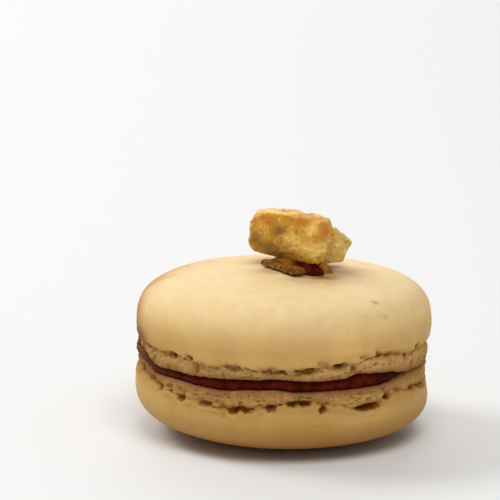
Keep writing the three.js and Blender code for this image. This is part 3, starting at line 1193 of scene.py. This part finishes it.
    def wiped(self, angle: Array, rise: Array) -> Array:
        """How dark the edge of the skin is drawn where the ganache was wiped up: ganache stain with painted
        shade under the skin's edge.

        Args:
            angle: in degrees from the front.
            rise: above the crumb face.

        Returns:
            One value for each point, 0 where there is none.
        """
        away = np.abs(turn_between(angle, self.wiped_side))
        past = rise - self.belly_rise
        return 0.9 * ramp(away, 32, 20) * ramp(past, 2.2, 0.4) * ramp(past, -1.3, -0.6) * (self.up > 0)

    def crown(self, rise: Array) -> Array:
        """How much paler the skin is towards the top of the upper shell: partly its own paler tone, partly
        a painted sheen of the light from above.
        """
        return ramp(rise - self.belly_rise, -0.5, 8.5) * (self.up > 0)

    def shadowed_and_oiled(self, points: Array) -> Array:
        """How much painted shadow the topping casts on the skin round it, with the oil and chocolate that
        it left there.

        Args:
            points: places in millimetres, one in each row.

        Returns:
            One value for each point, 0 where there is none.
        """
        mark = np.zeros(len(points))
        for x, y, wide, deep, strength in self.oil:
            spot = bell(points[:, 0] - x, wide) * bell(points[:, 1] - y, deep)
            mark = np.maximum(mark, strength * spot)
        return mark * (1 + 0.25 * solid_noise(points, 1.1, self.seed + 50))

    def dome_specks(self, points: Array) -> Array:
        """Flecks of almond skin that show on the dome.

        Args:
            points: places in millimetres, one in each row.

        Returns:
            One value for each point, 0 where there is none.
        """
        mark = np.zeros(len(points))
        for at, away, size, strength in self.specks:
            middle = self.place(np.array([at]), away, self.dome_rise(np.array([away])))
            ragged = 1 + 0.5 * solid_noise(points, 0.5, self.seed)
            gap = np.linalg.norm((points - middle) * (1, 1, 1.3), axis=1) * ragged
            mark = np.maximum(mark, strength * fade(1.4 - gap / size))
        return mark

    # How it is put together.

    def add_wall(self, rings: Rings) -> None:
        """Adds the rings of the side, from the crumb face across the foot and onto the skin.

        Args:
            rings: the surface that they go into.
        """
        angle = np.arange(self.columns) * 360 / self.columns
        seam = self.seam(angle)
        rings.add(polar(angle[::2], self.rim_radius, self.face), foot=1.0, stain=0.6)
        edge = self.rounding * (1 - np.cos(np.radians(np.linspace(0, 78, self.rounded_rows))))
        foot = [np.full_like(seam, rise) for rise in edge]
        foot += [edge[-1] + (seam - edge[-1]) * share for share in np.linspace(0, 1, self.foot_rows)[1:]]
        top = self.belly_rise + 1
        skin = [seam + (top - seam) * share for share in np.linspace(0, 1, self.skin_rows)[1:] ** 1.35]
        for rise in foot + skin:
            radius, marks = self.wall(angle, seam, rise)
            sag = self.rim_sag(angle) * fade(1 - rise / self.reach)
            # The crown mark carries a painted sheen as well as the paler tone.
            marks |= {"toast": self.toast(angle, rise), "crown": self.crown(rise)}
            # The low skin's mark is painted shade, with a ganache smudge near the wiped side.
            marks["hole"] = np.maximum(marks["hole"], self.smudged_and_shaded(angle, rise))
            # The wiped edge's mark is ganache with painted shade.
            marks["pit"] = np.maximum(marks["pit"], self.wiped(angle, rise))
            rings.add(self.place(angle, radius, rise - sag), **marks)

    def add_dome(self, rings: Rings) -> None:
        """Adds the rings of the dome, with fewer columns towards its crown.

        Args:
            rings: the surface that they go into.
        """
        power = 2 / self.fullness
        low = math.asin((self.dome_start / self.dome_height) ** (1 / power))
        high = math.acos(self.shoulder ** (1 / power))
        turns = np.linspace(low, high, self.shoulder_rows)
        shoulder = [self.belly * math.cos(turn) ** power for turn in turns]
        flat = np.arange(shoulder[-1] - self.flat_step, 0.5, -self.flat_step)
        for distance in [*shoulder, *flat]:
            count = self.columns // 2 // 2 ** sum(distance <= limit for limit in self.thinning)
            angle = np.arange(count) * 360 / count
            rise = np.full(count, float(self.dome_rise(np.array(distance))))
            smooth = self.place(angle, distance, rise)
            swell = 0.05 * solid_noise(smooth, 6.0, self.seed + 40)
            swell = swell + 0.012 * solid_noise(smooth, 1.7, self.seed + 41)
            reach = distance * (1 + self.out_of_round(angle)) + swell
            points = self.place(angle, reach, rise + swell * (self.up > 0))
            # On the bottom shell the toast mark is painted shade towards the board.
            marks = {"toast": self.toast(angle, rise), "crown": self.crown(rise)}
            marks |= {"hole": self.smudged_and_shaded(angle, rise), "pit": self.wiped(angle, rise)}
            # The oil spots are painted shadow of the topping, with its oil and chocolate stains.
            rings.add(points, speck=self.dome_specks(points), oil=self.shadowed_and_oiled(points), **marks)
        rings.add(self.place(np.zeros(1), 0.0, self.dome_rise(np.zeros(1))), crown=float(self.up > 0))

    def build(self) -> bpy.types.Object:
        """Builds the shell and dresses it.

        Returns:
            The piece.
        """
        rings = Rings()
        rings.add(polar(np.zeros(1), 0.0, self.face), foot=1.0)
        self.add_wall(rings)
        self.add_dome(rings)
        piece = rings.mesh(self.name)
        if self.up < 0:
            piece.data.flip_normals()
        # The bottom shell wears the darker copy, with painted shade in its colours.
        (MERINGUE if self.up > 0 else SHADED_LOWER_MERINGUE).dress(piece)
        return settle(piece, "meringue", self.node)


def settle(piece: bpy.types.Object, slot: str, *nodes: str) -> bpy.types.Object:
    """Puts a piece on the macaron's body in place of CAD nodes.

    Args:
        piece: the finished piece.
        slot: the record's material slot; not used.
        nodes: CAD nodes that it stands for.

    Returns:
        The piece.
    """
    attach(piece, BODY)
    if nodes:
        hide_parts(*nodes)
    LOG.info("%s: %d faces", piece.name, len(piece.data.polygons))
    return piece


def top_shell() -> Shell:
    """The top shell, with the pockets that its front shows.

    Returns:
        The shell, not yet built.
    """
    pockets = [(-66, 2.6, 2.1, 0.45), (-48.5, 1.6, 2.2, 0.9), (-39, 1.2, 2.3, 0.8), (-36, 1, 0.9, 0.5)]
    pockets += [(-20, 2.6, 1.6, 0.55), (-3.5, 3.6, 1.4, 0.55), (8.5, 3, 1.35, 0.6), (15.5, 1.8, 2.3, 0.4)]
    pockets += [(22.5, 2.1, 2.1, 1.1), (28.5, 1, 1.1, 0.6), (32, 1.3, 2.9, 0.4), (40, 1.5, 2.9, 0.8)]
    pockets += [(45.5, 2.6, 2.7, 0.5), (56, 1.1, 1.9, 0.8)]
    rim = [(-95, -0.5), (-73, -0.6), (-61, 0.8), (-46, 0.65), (-33, 0.55), (-12, 0.15), (-3, -0.15)]
    rim += [(14, 0.2), (24, 0.15), (30, -0.5), (37, -0.25), (48, 0.15), (53, 0.6), (60, 0.9)]
    rim += [(120, 0.9), (140, 0.1), (180, 0.2)]
    return Shell(
        name="top_meringue_shell",
        node="top_shell",
        face=12.95,
        up=1,
        middle=0,
        belly=22.5,
        belly_rise=2.9,
        dome_height=8.75,
        dome_cut=8.75,
        fullness=3.8,
        lean=0.008,
        drift=0,
        mound=0.6,
        foot=21.7,
        foot_rise=2,
        tuck=0.45,
        seed=11,
        rim=rim,
        front=[Pocket(*values) for values in pockets],
        specks=[(44.2, 19.2, 0.55, 0.6), (43.7, 21.5, 0.5, 0.3), (-29.6, 13.3, 0.5, 0.15)],
        # Spots of painted shadow round the topping, with its oil and chocolate stains.
        oil=[
            (1.2, -1.2, 5.0, 2.4, 0.85),
            (8.2, -0.3, 3.2, 3.4, 0.6),
            (6.4, 0.6, 2.0, 4.0, 1.0),
            (-1.5, 6.0, 3.2, 4.0, 0.85),
            (5.6, -4.4, 3.2, 2.4, 0.85),
            (5.0, -6.6, 5.0, 2.6, 0.4),
        ],
    )


def bottom_shell() -> Shell:
    """The bottom shell, with the pockets that its front shows.

    Returns:
        The shell, not yet built.
    """
    pockets = [(-92, 3.4, 0.9, 0.5), (-81, 2, 0.8, 0.6), (-72, 2.2, 0.8, 0.6), (-61, 1.5, 0.7, 0.6)]
    pockets += [(-55, 1.1, 1.7, 0.8), (-43, 1.7, 2.35, 0.9), (-31, 2.1, 2.5, 0.7)]
    pockets += [(-22.5, 0.9, 3.6, 0.25), (-16, 3.4, 2.85, 1.2), (-3.5, 1.7, 2.3, 0.9), (8.5, 4.4, 1.7, 1.1)]
    pockets += [(17, 1.1, 2.6, 1.3), (37, 4, 3.1, 1.4, 0.3), (46.5, 1.6, 2.1, 1.1), (53, 1.7, 1.7, 0.6)]
    rim = [(-95, 0.8), (-73, 0.95), (-61, -0.2), (-46, -0.05), (-34, -0.35), (-25, -0.6), (-12, 0.05)]
    rim += [(-3, 0.25), (7, -0.2), (42, -0.25), (48, -0.05), (53, 0.3), (60, 0.75)]
    rim += [(120, 0.75), (140, 0), (180, 0.1)]
    return Shell(
        name="bottom_meringue_shell",
        node="bottom_shell",
        face=11.15,
        up=-1,
        middle=-0.4,
        belly=22.25,
        belly_rise=3.9,
        dome_height=7.35,
        dome_cut=7.25,
        fullness=2.85,
        lean=0,
        drift=0.13,
        mound=0,
        foot=21.75,
        foot_rise=2.3,
        tuck=0.2,
        seed=29,
        rim=rim,
        front=[Pocket(*values) for values in pockets],
    )


# --- the ganache ----------------------------------------------------------------------------------------


@dataclass
class Filling:
    """The ganache layer between the shells' rims, in millimetres."""

    top: Shell
    bottom: Shell
    edge: float = 21.25
    recess: float = 0.9
    bulge: float = 1.1
    bulge_at: float = -93
    bulge_spread: float = 30
    thin_at: float = -95  # where it was wiped thin
    thin_spread: float = 32
    open_gap: float = 1.08  # below this gap between the rims, the layer draws back
    closed_gap: float = 0.18  # and at this one it has drawn back fully
    wander: float = 0.22
    rounding: float = 0.55
    lumps: Sequence[tuple[float, float, float, int]] = (
        (0.13, 2.7, 2.0, 6),
        (0.09, 1.25, 4.2, 7),
        (0.05, 0.6, 8.0, 8),
    )  # (height, degrees that one takes, how many up the layer, seed)
    waves: tuple[float, float, float, int] = (0.07, 2.0, 3.0, 9)  # the same for the rows' rise and fall
    columns: int = 1200
    rows: int = 21

    @staticmethod
    def lumpy(angle: Array, share: float, kind: tuple[float, float, float, int]) -> Array:
        """Noise of one kind round the layer at a share of its height."""
        high, wide, up, seed = kind
        return high * noise(angle / wide, share * up, round(360 / wide), seed)

    def build(self) -> bpy.types.Object:
        """Builds the layer and dresses it.

        Returns:
            The piece.
        """
        angle = np.arange(self.columns) * 360 / self.columns
        low = self.bottom.face + self.bottom.rim_sag(angle)
        high = self.top.face - self.top.rim_sag(angle)
        closing = ramp(high - low, self.open_gap, self.closed_gap)
        pushed = self.bulge * bell(turn_between(angle, self.bulge_at), self.bulge_spread)
        reach = self.edge + pushed - self.recess * closing
        reach = reach + self.lumpy(angle, 0.5, (self.wander, 15, 1, 5))
        rings = Rings()
        rings.add(polar(np.zeros(1), 0.0, self.bottom.face))
        rings.add(polar(angle, self.top.rim_radius, self.bottom.face))
        thin = bell(turn_between(angle, self.thin_at), self.thin_spread)
        for share in np.linspace(0, 1, self.rows):
            rounded = reach - self.rounding * abs(2 * share - 1) ** 3
            rough = sum(self.lumpy(angle, share, kind) for kind in self.lumps)
            height = low + (high - low) * share + self.lumpy(angle, share, self.waves)
            rings.add(polar(angle, rounded + rough, height), thin=thin)
        rings.add(polar(angle, self.top.rim_radius, self.top.face))
        rings.add(polar(np.zeros(1), 0.0, self.top.face))
        piece = rings.mesh("ganache_layer")
        GANACHE.dress(piece)
        return settle(piece, "ganache", "filling")


@dataclass
class Smear:
    """Ganache squeezed out at the left and wiped up against the top shell's foot, in millimetres."""

    shell: Shell
    middle: float = -98
    half_turn: float = 25
    low: float = -0.4
    high: float = 3.2
    thickness: float = 0.42
    sunk: float = 0.5  # how deep its back lies in the foot
    narrowing: float = 0.93  # how much lower its right end is
    columns: int = 90
    rows: int = 28

    def build(self) -> bpy.types.Object:
        """Builds the smear as a thin closed lens on the foot and dresses it.

        Returns:
            The piece.
        """
        u, v = np.meshgrid(np.linspace(-1, 1, self.columns), np.linspace(-1, 1, self.rows))
        u, v = u.ravel(), v.ravel()
        ragged = 0.12 * noise(u * 6 + 20, v * 2, 99, 3) + 0.05 * noise(u * 17 + 50, v * 6, 199, 4)
        body = np.clip(1 - (u * (1 + ragged)) ** 4 - (v * (1 + 2 * ragged)) ** 2, 0, 1) ** 0.6
        angle = self.middle + self.half_turn * u
        height = (self.high - self.low) * (1 - self.narrowing * ramp(u, 0.08, 0.88))
        rise = self.low + height * (v + 1) / 2
        seam = self.shell.seam(angle)
        hugged = self.shell.wall(angle, seam, np.maximum(rise, 0.4))[0]
        base = np.maximum(hugged, self.shell.foot - 0.1)
        front = self.shell.place(angle, base + self.thickness * (body - 0.12), rise)
        back = self.shell.place(angle, base - self.sunk, rise)
        count = self.columns * self.rows
        grid = np.arange(count).reshape(self.rows, self.columns)
        corners = [grid[:-1, :-1], grid[:-1, 1:], grid[1:, 1:], grid[1:, :-1]]
        quads = np.stack(corners, axis=-1).reshape(-1, 4)
        faces = quads.tolist() + (quads[:, ::-1] + count).tolist()
        border = [*grid[0, :-1], *grid[:-1, -1], *grid[-1, :0:-1], *grid[:0:-1, 0]]
        for one, two in zip(border, border[1:] + border[:1]):
            faces.append([int(two), int(one), int(one) + count, int(two) + count])
        piece = make_object("ganache_smear", np.concatenate([front, back]), faces, {})
        THIN_GANACHE.dress(piece)
        return settle(piece, "ganache")


@dataclass
class Dab:
    """The dab of ganache that holds the praline, in millimetres."""

    shell: Shell
    x: float = 1.7
    y: float = -0.65
    length: float = 5.5
    width: float = 2.6
    turn: float = -35
    height: float = 1.7
    lumps: int = 8
    wander: float = 0.14
    chip: tuple[float, float] = (-0.1, -2.0)  # middle of the chip that the dab ends at
    chip_way: tuple[float, float] = (0.85, 0.53)  # across that chip
    sunk: float = 0.2  # how deep its underside lies in the shell
    caramel: tuple[float, float] = (1.9, 0.5)  # from which x to which it turns to caramel
    seed: int = 3
    columns: int = 128
    rows: int = 40

    def build(self) -> bpy.types.Object:
        """Builds the dab as a low drop on the dome and dresses it.

        Returns:
            The piece.
        """
        rings = Rings()
        around = np.arange(self.columns) / self.columns * math.tau
        spread = 1 + self.wander * noise(around / math.tau * self.lumps, 0.5, self.lumps, self.seed)
        spread = spread + 0.035 * noise(around / math.tau * 29, 0.5, 29, self.seed + 1)
        turn, (way_x, way_y) = math.radians(self.turn), self.chip_way
        for lift in np.radians(np.linspace(-90, 90, self.rows)):
            closed = abs(lift) > math.radians(89)
            size = spread * (0 if closed else math.cos(lift))
            along, across = np.cos(around) * self.length * size, np.sin(around) * self.width * size
            x = self.x + along * math.cos(turn) - across * math.sin(turn)
            y = self.y + along * math.sin(turn) + across * math.cos(turn)
            ground = self.shell.face + self.shell.dome_rise(np.hypot(x, y)) + self.shell.lean * x
            ripple = 0.07 * noise(np.cos(around) * 3 + 9, np.sin(around) * 3 + lift * 2, 99, 12)
            above = self.height * (math.sin(lift) + ripple * math.cos(lift)) if lift > 0 else -self.sunk
            before = np.maximum((self.chip[0] - x) * way_x + (self.chip[1] - y) * way_y, 0)
            points = np.stack([x + way_x * before, y + way_y * before, ground + above], axis=1)
            points = points[:1] if closed else points
            uneven = 0.35 * solid_noise(points, 0.8, self.seed + 2)
            start, end = self.caramel
            rings.add(points, thin=0.95 * fade((points[:, 0] - start) / (end - start) + uneven))
        piece = rings.mesh("ganache_dab_glossy")
        DAB_GANACHE.dress(piece)
        return settle(piece, "ganache", "ganache_dab")


# --- the praline ----------------------------------------------------------------------------------------


@dataclass
class Praline:
    """A broken piece of praline, bounded by flat faces round its middle, in millimetres and degrees.

    In its own frame x is its length, -y its front and z its height.
    """

    name: str
    node: str
    finish: CaramelPraline
    size: tuple[float, float, float]
    place: tuple[float, float, float]
    turn: tuple[float, float, float]
    faces: Sequence[tuple[float, float, float, float]]  # (x, y, z of the normal, distance from the middle)
    tones: Sequence[tuple[Tone, float, float, float, float]] = ()  # (tone, x, z, half width, half height)
    step: float = 0.11
    sharpness: float = 60
    chips: int = 40  # small facets where edges have crumbled
    lump: float = 0.07  # height of the largest lumps
    lumps: Sequence[tuple[float, float]] = ((1, 1.5), (0.5, 0.6), (0.2, 0.3))  # (share of it, size)
    fragment: float = 2.3  # width of a broken facet
    tilt: float = 0.14  # slope of one facet against the next
    seed: int = 1

    def box(self) -> tuple[Array, list[list[int]]]:
        """A box of small squares.

        Returns:
            Its points in millimetres, and the point numbers of its faces.
        """
        steps = [max(4, round(length / self.step)) for length in self.size]
        points: dict[tuple[int, int, int], int] = {}
        faces = []
        for axis in range(3):
            first, second = (axis + 1) % 3, (axis + 2) % 3
            for end in (0, steps[axis]):
                for i in range(steps[first]):
                    for j in range(steps[second]):
                        face = []
                        for di, dj in ((0, 0), (1, 0), (1, 1), (0, 1)):
                            key = [0, 0, 0]
                            key[axis], key[first], key[second] = end, i + di, j + dj
                            face.append(points.setdefault(tuple(key), len(points)))
                        faces.append(face if end else face[::-1])
        grid = np.array(list(points), float) / np.array(steps) - 0.5
        return grid * np.array(self.size), faces

    def all_faces(self) -> Array:
        """The main faces, and small ones by lot where edges have crumbled.

        Returns:
            The normal and the distance from the middle of each, one in each row.
        """
        lot = Lot(self.seed * 7919)
        faces = [list(face) for face in self.faces]
        main = np.array(faces)
        outline = self.all_ways() * self.reach(self.all_ways(), main)[:, None]
        for _ in range(self.chips):
            normal = np.array([lot.draw(-1, 1), lot.draw(-1, 1), lot.draw(-1, 1)])
            normal /= max(np.linalg.norm(normal), 1e-6)
            reach = self.reach(normal[None], main)[0]
            support = np.max(outline @ normal)
            faces.append([*normal, support - lot.draw(0.02, 0.12) * max(support - 0.75 * reach, 0)])
        return np.array(faces)

    @staticmethod
    def all_ways() -> Array:
        """Directions spread over a ball.

        Returns:
            Directions of length 1, one in each row.
        """
        count = 600
        index = np.arange(count) + 0.5
        lift, turn = np.arccos(1 - 2 * index / count), math.pi * (1 + 5**0.5) * index
        return np.stack([np.cos(turn) * np.sin(lift), np.sin(turn) * np.sin(lift), np.cos(lift)], axis=1)

    def reach(self, ways: Array, faces: Array) -> Array:
        """How far the piece goes out along each direction.

        Args:
            ways: directions of length 1, one in each row.
            faces: normals and distances from the middle, one in each row.

        Returns:
            The distance from the middle along each.
        """
        normals = faces[:, :3] / np.linalg.norm(faces[:, :3], axis=1)[:, None]
        ratio = np.maximum(ways @ normals.T / faces[:, 3], 0)
        return np.sum(ratio**self.sharpness, axis=1) ** (-1 / self.sharpness)

    def facets(self, surface: Array, size: float, tilt: float) -> Array:
        """How far small broken facets stand out, in millimetres, each sloping its own way.

        Args:
            surface: places in millimetres, one in each row.
            size: width of a facet in millimetres.
            tilt: slope of one against the next.

        Returns:
            One value for each point.
        """
        mark, border, way = fragments(surface, size, self.seed + size)
        slope = np.stack([np.sin(mark * 40), np.cos(mark * 67), np.sin(mark * 91)], axis=1)
        crack = 0.02 * (1 - fade(border / 0.1))
        return tilt * np.sum(way * slope, axis=1) * fade(border / (0.08 * size)) - crack

    def cooked(self, surface: Array) -> dict[str, Array]:
        """How much of each tone each point gets: cooked colour, with painted highlights in the bright tone
        and painted shade in the burnt one.

        Args:
            surface: places in millimetres, one in each row.

        Returns:
            Values from 0 to 1 by the name of each tone.
        """
        marks = {tone.value: np.zeros(len(surface)) for tone in Tone}
        for tone, x, z, wide, high in self.tones:
            patch = bell(surface[:, 0] - x, wide) * bell(surface[:, 2] - z, high)
            # Only the front gets tones, so the painted highlights and shade face the front.
            in_front = ramp(surface[:, 1], 1.5, -0.3)
            marks[tone.value] = np.maximum(marks[tone.value], patch * in_front)
        return marks

    def build(self) -> bpy.types.Object:
        """Builds the piece with its crumbled edges and lumps, and dresses it.

        Returns:
            The piece.
        """
        points, faces = self.box()
        ways = points / np.linalg.norm(points, axis=1)[:, None]
        surface = ways * self.reach(ways, self.all_faces())[:, None]
        relief = sum(self.facets(surface, size, self.tilt) for size in (self.fragment, self.fragment / 2.4))
        for index, (share, size) in enumerate(self.lumps):
            relief = relief + share * self.lump * solid_noise(surface, size, self.seed + index)
        marks = self.cooked(surface)
        surface = surface + ways * relief[:, None]
        turns = [Matrix.Rotation(math.radians(angle), 3, axis) for angle, axis in zip(self.turn, "XYZ")]
        turned = surface @ np.array(turns[2] @ turns[1] @ turns[0]).T
        piece = make_object(self.name, turned + np.array(self.place), faces, marks)
        self.finish.dress(piece)
        return settle(piece, "praline", self.node)


def praline_pieces() -> list[Praline]:
    """The block, the shard behind it and the chip below it.

    Returns:
        The pieces, not yet built.
    """
    block = [(-0.01, 0.03, 1, 3.35), (0.1, 0, 1, 3.42), (-0.06, 0, -1, 3.55), (-1, 0, 0.14, 6.6)]
    block += [(1, -0.1, -0.12, 5.9), (0.03, -1, 0.06, 2.2), (-0.04, -1, -0.16, 2.3), (0, 1, 0.05, 2.15)]
    block += [(-0.7, -0.2, 0.75, 5.95), (0.66, 0, 0.75, 6.05), (-0.66, 0, -0.75, 6.95), (-0.8, 0.6, 0, 6)]
    block += [(0.75, -0.66, -0.1, 5.4)]
    shard = [(0.625, 0, 0.781, 2.15), (0.894, 0.05, -0.447, 2.15), (-0.33, 0, 0.94, 2.6), (-1, 0.1, 0, 2.1)]
    shard += [(0.06, 0.05, -1, 2.45), (0.12, -1, 0.1, 1.15), (0.05, 1, 0.05, 1.2)]
    chip = [(0, 0.05, 1, 0.42), (0, 0, -1, 0.4), (0.05, -1, 0.2, 1.05), (0, 1, 0.2, 1.15)]
    chip += [(-1, -0.35, 0.1, 5.5), (1, -0.2, 0.1, 4.2), (-0.5, 0.85, 0, 3)]
    # The bright patches are painted highlights, and the burnt one along the bottom is darker caramel with
    # painted shade.
    tones = [(Tone.AMBER, -3.0, 2.2, 1.8, 0.9), (Tone.AMBER, 2.4, 2.6, 3.4, 0.7)]
    tones += [(Tone.AMBER, 6.1, 1.1, 1.1, 2.0), (Tone.AMBER, 5.0, 3.1, 2.2, 0.5)]
    tones += [(Tone.OLIVE, -1.2, 0.5, 1.3, 1.1), (Tone.OLIVE, -5.3, -1.1, 1.3, 1.5)]
    tones += [(Tone.OLIVE, -3.2, -1.9, 2.2, 0.9), (Tone.BURNT_AND_SHADED, -1.4, -3.0, 3.4, 0.9)]
    tones += [(Tone.PAINTED_HIGHLIGHT, 4.7, 1.7, 0.7, 0.75), (Tone.PAINTED_HIGHLIGHT, 4.9, -1.6, 2.6, 1.1)]
    tones += [(Tone.PAINTED_HIGHLIGHT, 1.4, -0.4, 1.3, 0.8), (Tone.PAINTED_HIGHLIGHT, -3.0, 3.7, 4.5, 0.45)]
    return [
        Praline(
            name="golden_praline_block",
            node="praline_block",
            finish=GOLDEN_PRALINE,
            size=(12.6, 4.4, 7),
            place=(1.1, 0.9, 30.2),
            turn=(0, 0, -30),
            faces=block,
            tones=tones,
            seed=4,
        ),
        Praline(
            name="pale_praline_shard",
            node="praline_shard",
            finish=PALE_PRALINE,
            size=(4.6, 2.4, 4.8),
            place=(7.55, 3.1, 28.15),
            turn=(0, 0, 0),
            faces=shard,
            lump=0.05,
            fragment=1.6,
            tilt=0.12,
            chips=10,
            seed=9,
        ),
        Praline(
            name="dark_praline_chip",
            node="praline_chip",
            finish=DARK_PRALINE,
            size=(10, 2.2, 0.9),
            place=(-0.1, -2, 25.7),
            turn=(0, -1, -58),
            faces=chip,
            lump=0.12,
            fragment=1.5,
            tilt=0.22,
            chips=20,
            step=0.09,
            seed=6,
        ),
    ]


@dataclass
class Drip:
    """Dark caramel that ran down from the block's end and stuck to the shell, in millimetres."""

    shell: Shell
    top: tuple[float, float, float] = (4.9, -0.6, 26.8)
    foot: tuple[float, float] = (6.2, -1.2)
    radius: float = 0.85
    flare: float = 0.4
    sunk: float = 0.15  # how deep its foot lies in the shell
    columns: int = 64
    rows: int = 30

    def build(self) -> bpy.types.Object:
        """Builds the drip and dresses it.

        Returns:
            The piece.
        """
        ground = float(self.shell.face + self.shell.dome_rise(np.array([math.hypot(*self.foot)]))[0])
        around = np.arange(self.columns) * 360 / self.columns
        rings = Rings()
        for share in np.linspace(0, 1, self.rows):
            middle = np.array([*self.foot, ground - self.sunk]) * (1 - share) + np.array(self.top) * share
            spread = self.radius + self.flare * ((1 - share) ** 3 + 0.4 * share)
            lumps = 0.22 * noise(around / 45, share * 2.5, 8, 2)
            lumps = lumps + 0.07 * noise(around / 15, share * 7, 24, 3)
            ring = polar(around, spread + lumps, 0) + middle
            rings.add(ring if 0 < share < 1 else middle[None], bright=share)
        piece = rings.mesh("caramel_drip")
        DARK_PRALINE.dress(piece)
        return settle(piece, "praline")


# --- the studio -----------------------------------------------------------------------------------------


LIGHTS_AIM = (0, 0, 0.015)


@dataclass(frozen=True)
class SoftLight:
    """A square studio light that shines at the macaron, in metres, degrees and watts."""

    name: str
    azimuth: float
    elevation: float
    distance: float
    size: float
    power: float
    colour: str = "ffffff"

    def build(self) -> None:
        """Hangs the light."""
        data = bpy.data.lights.new(self.name, "AREA")
        data.shape, data.size, data.energy = "SQUARE", self.size, self.power
        data.color = linear(self.colour)[:3]
        light = bpy.data.objects.new(self.name, data)
        bpy.context.scene.collection.objects.link(light)
        turn, lift = math.radians(self.azimuth), math.radians(self.elevation)
        away = Vector((math.sin(turn) * math.cos(lift), -math.cos(turn) * math.cos(lift), math.sin(lift)))
        light.location = Vector(LIGHTS_AIM) + away * self.distance
        light.rotation_mode = "QUATERNION"
        light.rotation_quaternion = (-away).to_track_quat("-Z", "Y")


@dataclass
class Studio:
    """The board, the lights and the camera, in metres and degrees."""

    lights: Sequence[SoftLight] = (
        SoftLight("window_light", -112, 43, 0.9, 0.38, 3.5),
        SoftLight("back_light", 188, 27, 0.95, 0.9, 3.2),
        SoftLight("ceiling_light", 14, 62, 1.0, 0.6, 5.1),
    )
    air: str = "fffdf9"
    air_strength: float = 0.35
    elevation: float = 14
    distance: float = 0.45
    lens: float = 211.6
    roll: float = 0.75
    look_left: float = 0.651  # how far left of the target the camera looks
    look_up: float = 1.955  # and how far above it
    target: tuple[float, float, float] = (0, 0, 0.0122)
    board_mm: float = 1500.0  # half the board's side

    def build(self) -> None:
        """Sets up the board, the lights, the air and the camera."""
        self.build_board()
        for light in self.lights:
            light.build()
        self.build_air()
        self.build_camera()

    def build_board(self) -> None:
        """Lays the board."""
        signs = ((-1, -1, 0), (1, -1, 0), (1, 1, 0), (-1, 1, 0))
        corners = np.array(signs) * self.board_mm
        board = make_object("painted_board", corners, [[0, 1, 2, 3]], {})
        BOARD.dress(board)

    def build_air(self) -> None:
        """Lights the room evenly and softly."""
        world = bpy.data.worlds.new("studio_air")
        world.use_nodes = True
        background = world.node_tree.nodes["Background"]
        background.inputs["Color"].default_value = linear(self.air)
        background.inputs["Strength"].default_value = self.air_strength
        bpy.context.scene.world = world
        bpy.context.scene.view_settings.view_transform = "Standard"

    def build_camera(self) -> None:
        """Sets up the camera."""
        data = bpy.data.cameras.new("camera")
        data.lens, data.clip_start, data.clip_end = self.lens, 0.01, 10
        camera = bpy.data.objects.new("camera", data)
        bpy.context.scene.collection.objects.link(camera)
        lift = math.radians(self.elevation)
        back = Vector((0, -math.cos(lift), math.sin(lift)))
        camera.location = Vector(self.target) + back * self.distance
        turned = back.to_track_quat("Z", "Y").to_matrix()
        for angle, axis in ((self.roll, "Z"), (self.look_left, "Y"), (self.look_up, "X")):
            turned = turned @ Matrix.Rotation(math.radians(angle), 3, axis)
        camera.rotation_mode = "QUATERNION"
        camera.rotation_quaternion = turned.to_quaternion()
        bpy.context.scene.camera = camera


def main() -> None:
    """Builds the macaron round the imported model, and the studio."""
    logging.basicConfig(level=logging.INFO, format="%(message)s")
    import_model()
    top, bottom = top_shell(), bottom_shell()
    pieces: list[Callable[[], bpy.types.Object]] = [top.build, bottom.build, Filling(top, bottom).build]
    pieces += [Smear(top).build, Dab(top).build]
    pieces += [piece.build for piece in praline_pieces()] + [Drip(top).build]
    for build in pieces:
        build()
    Studio().build()
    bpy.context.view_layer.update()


if __name__ == "__main__":
    main()
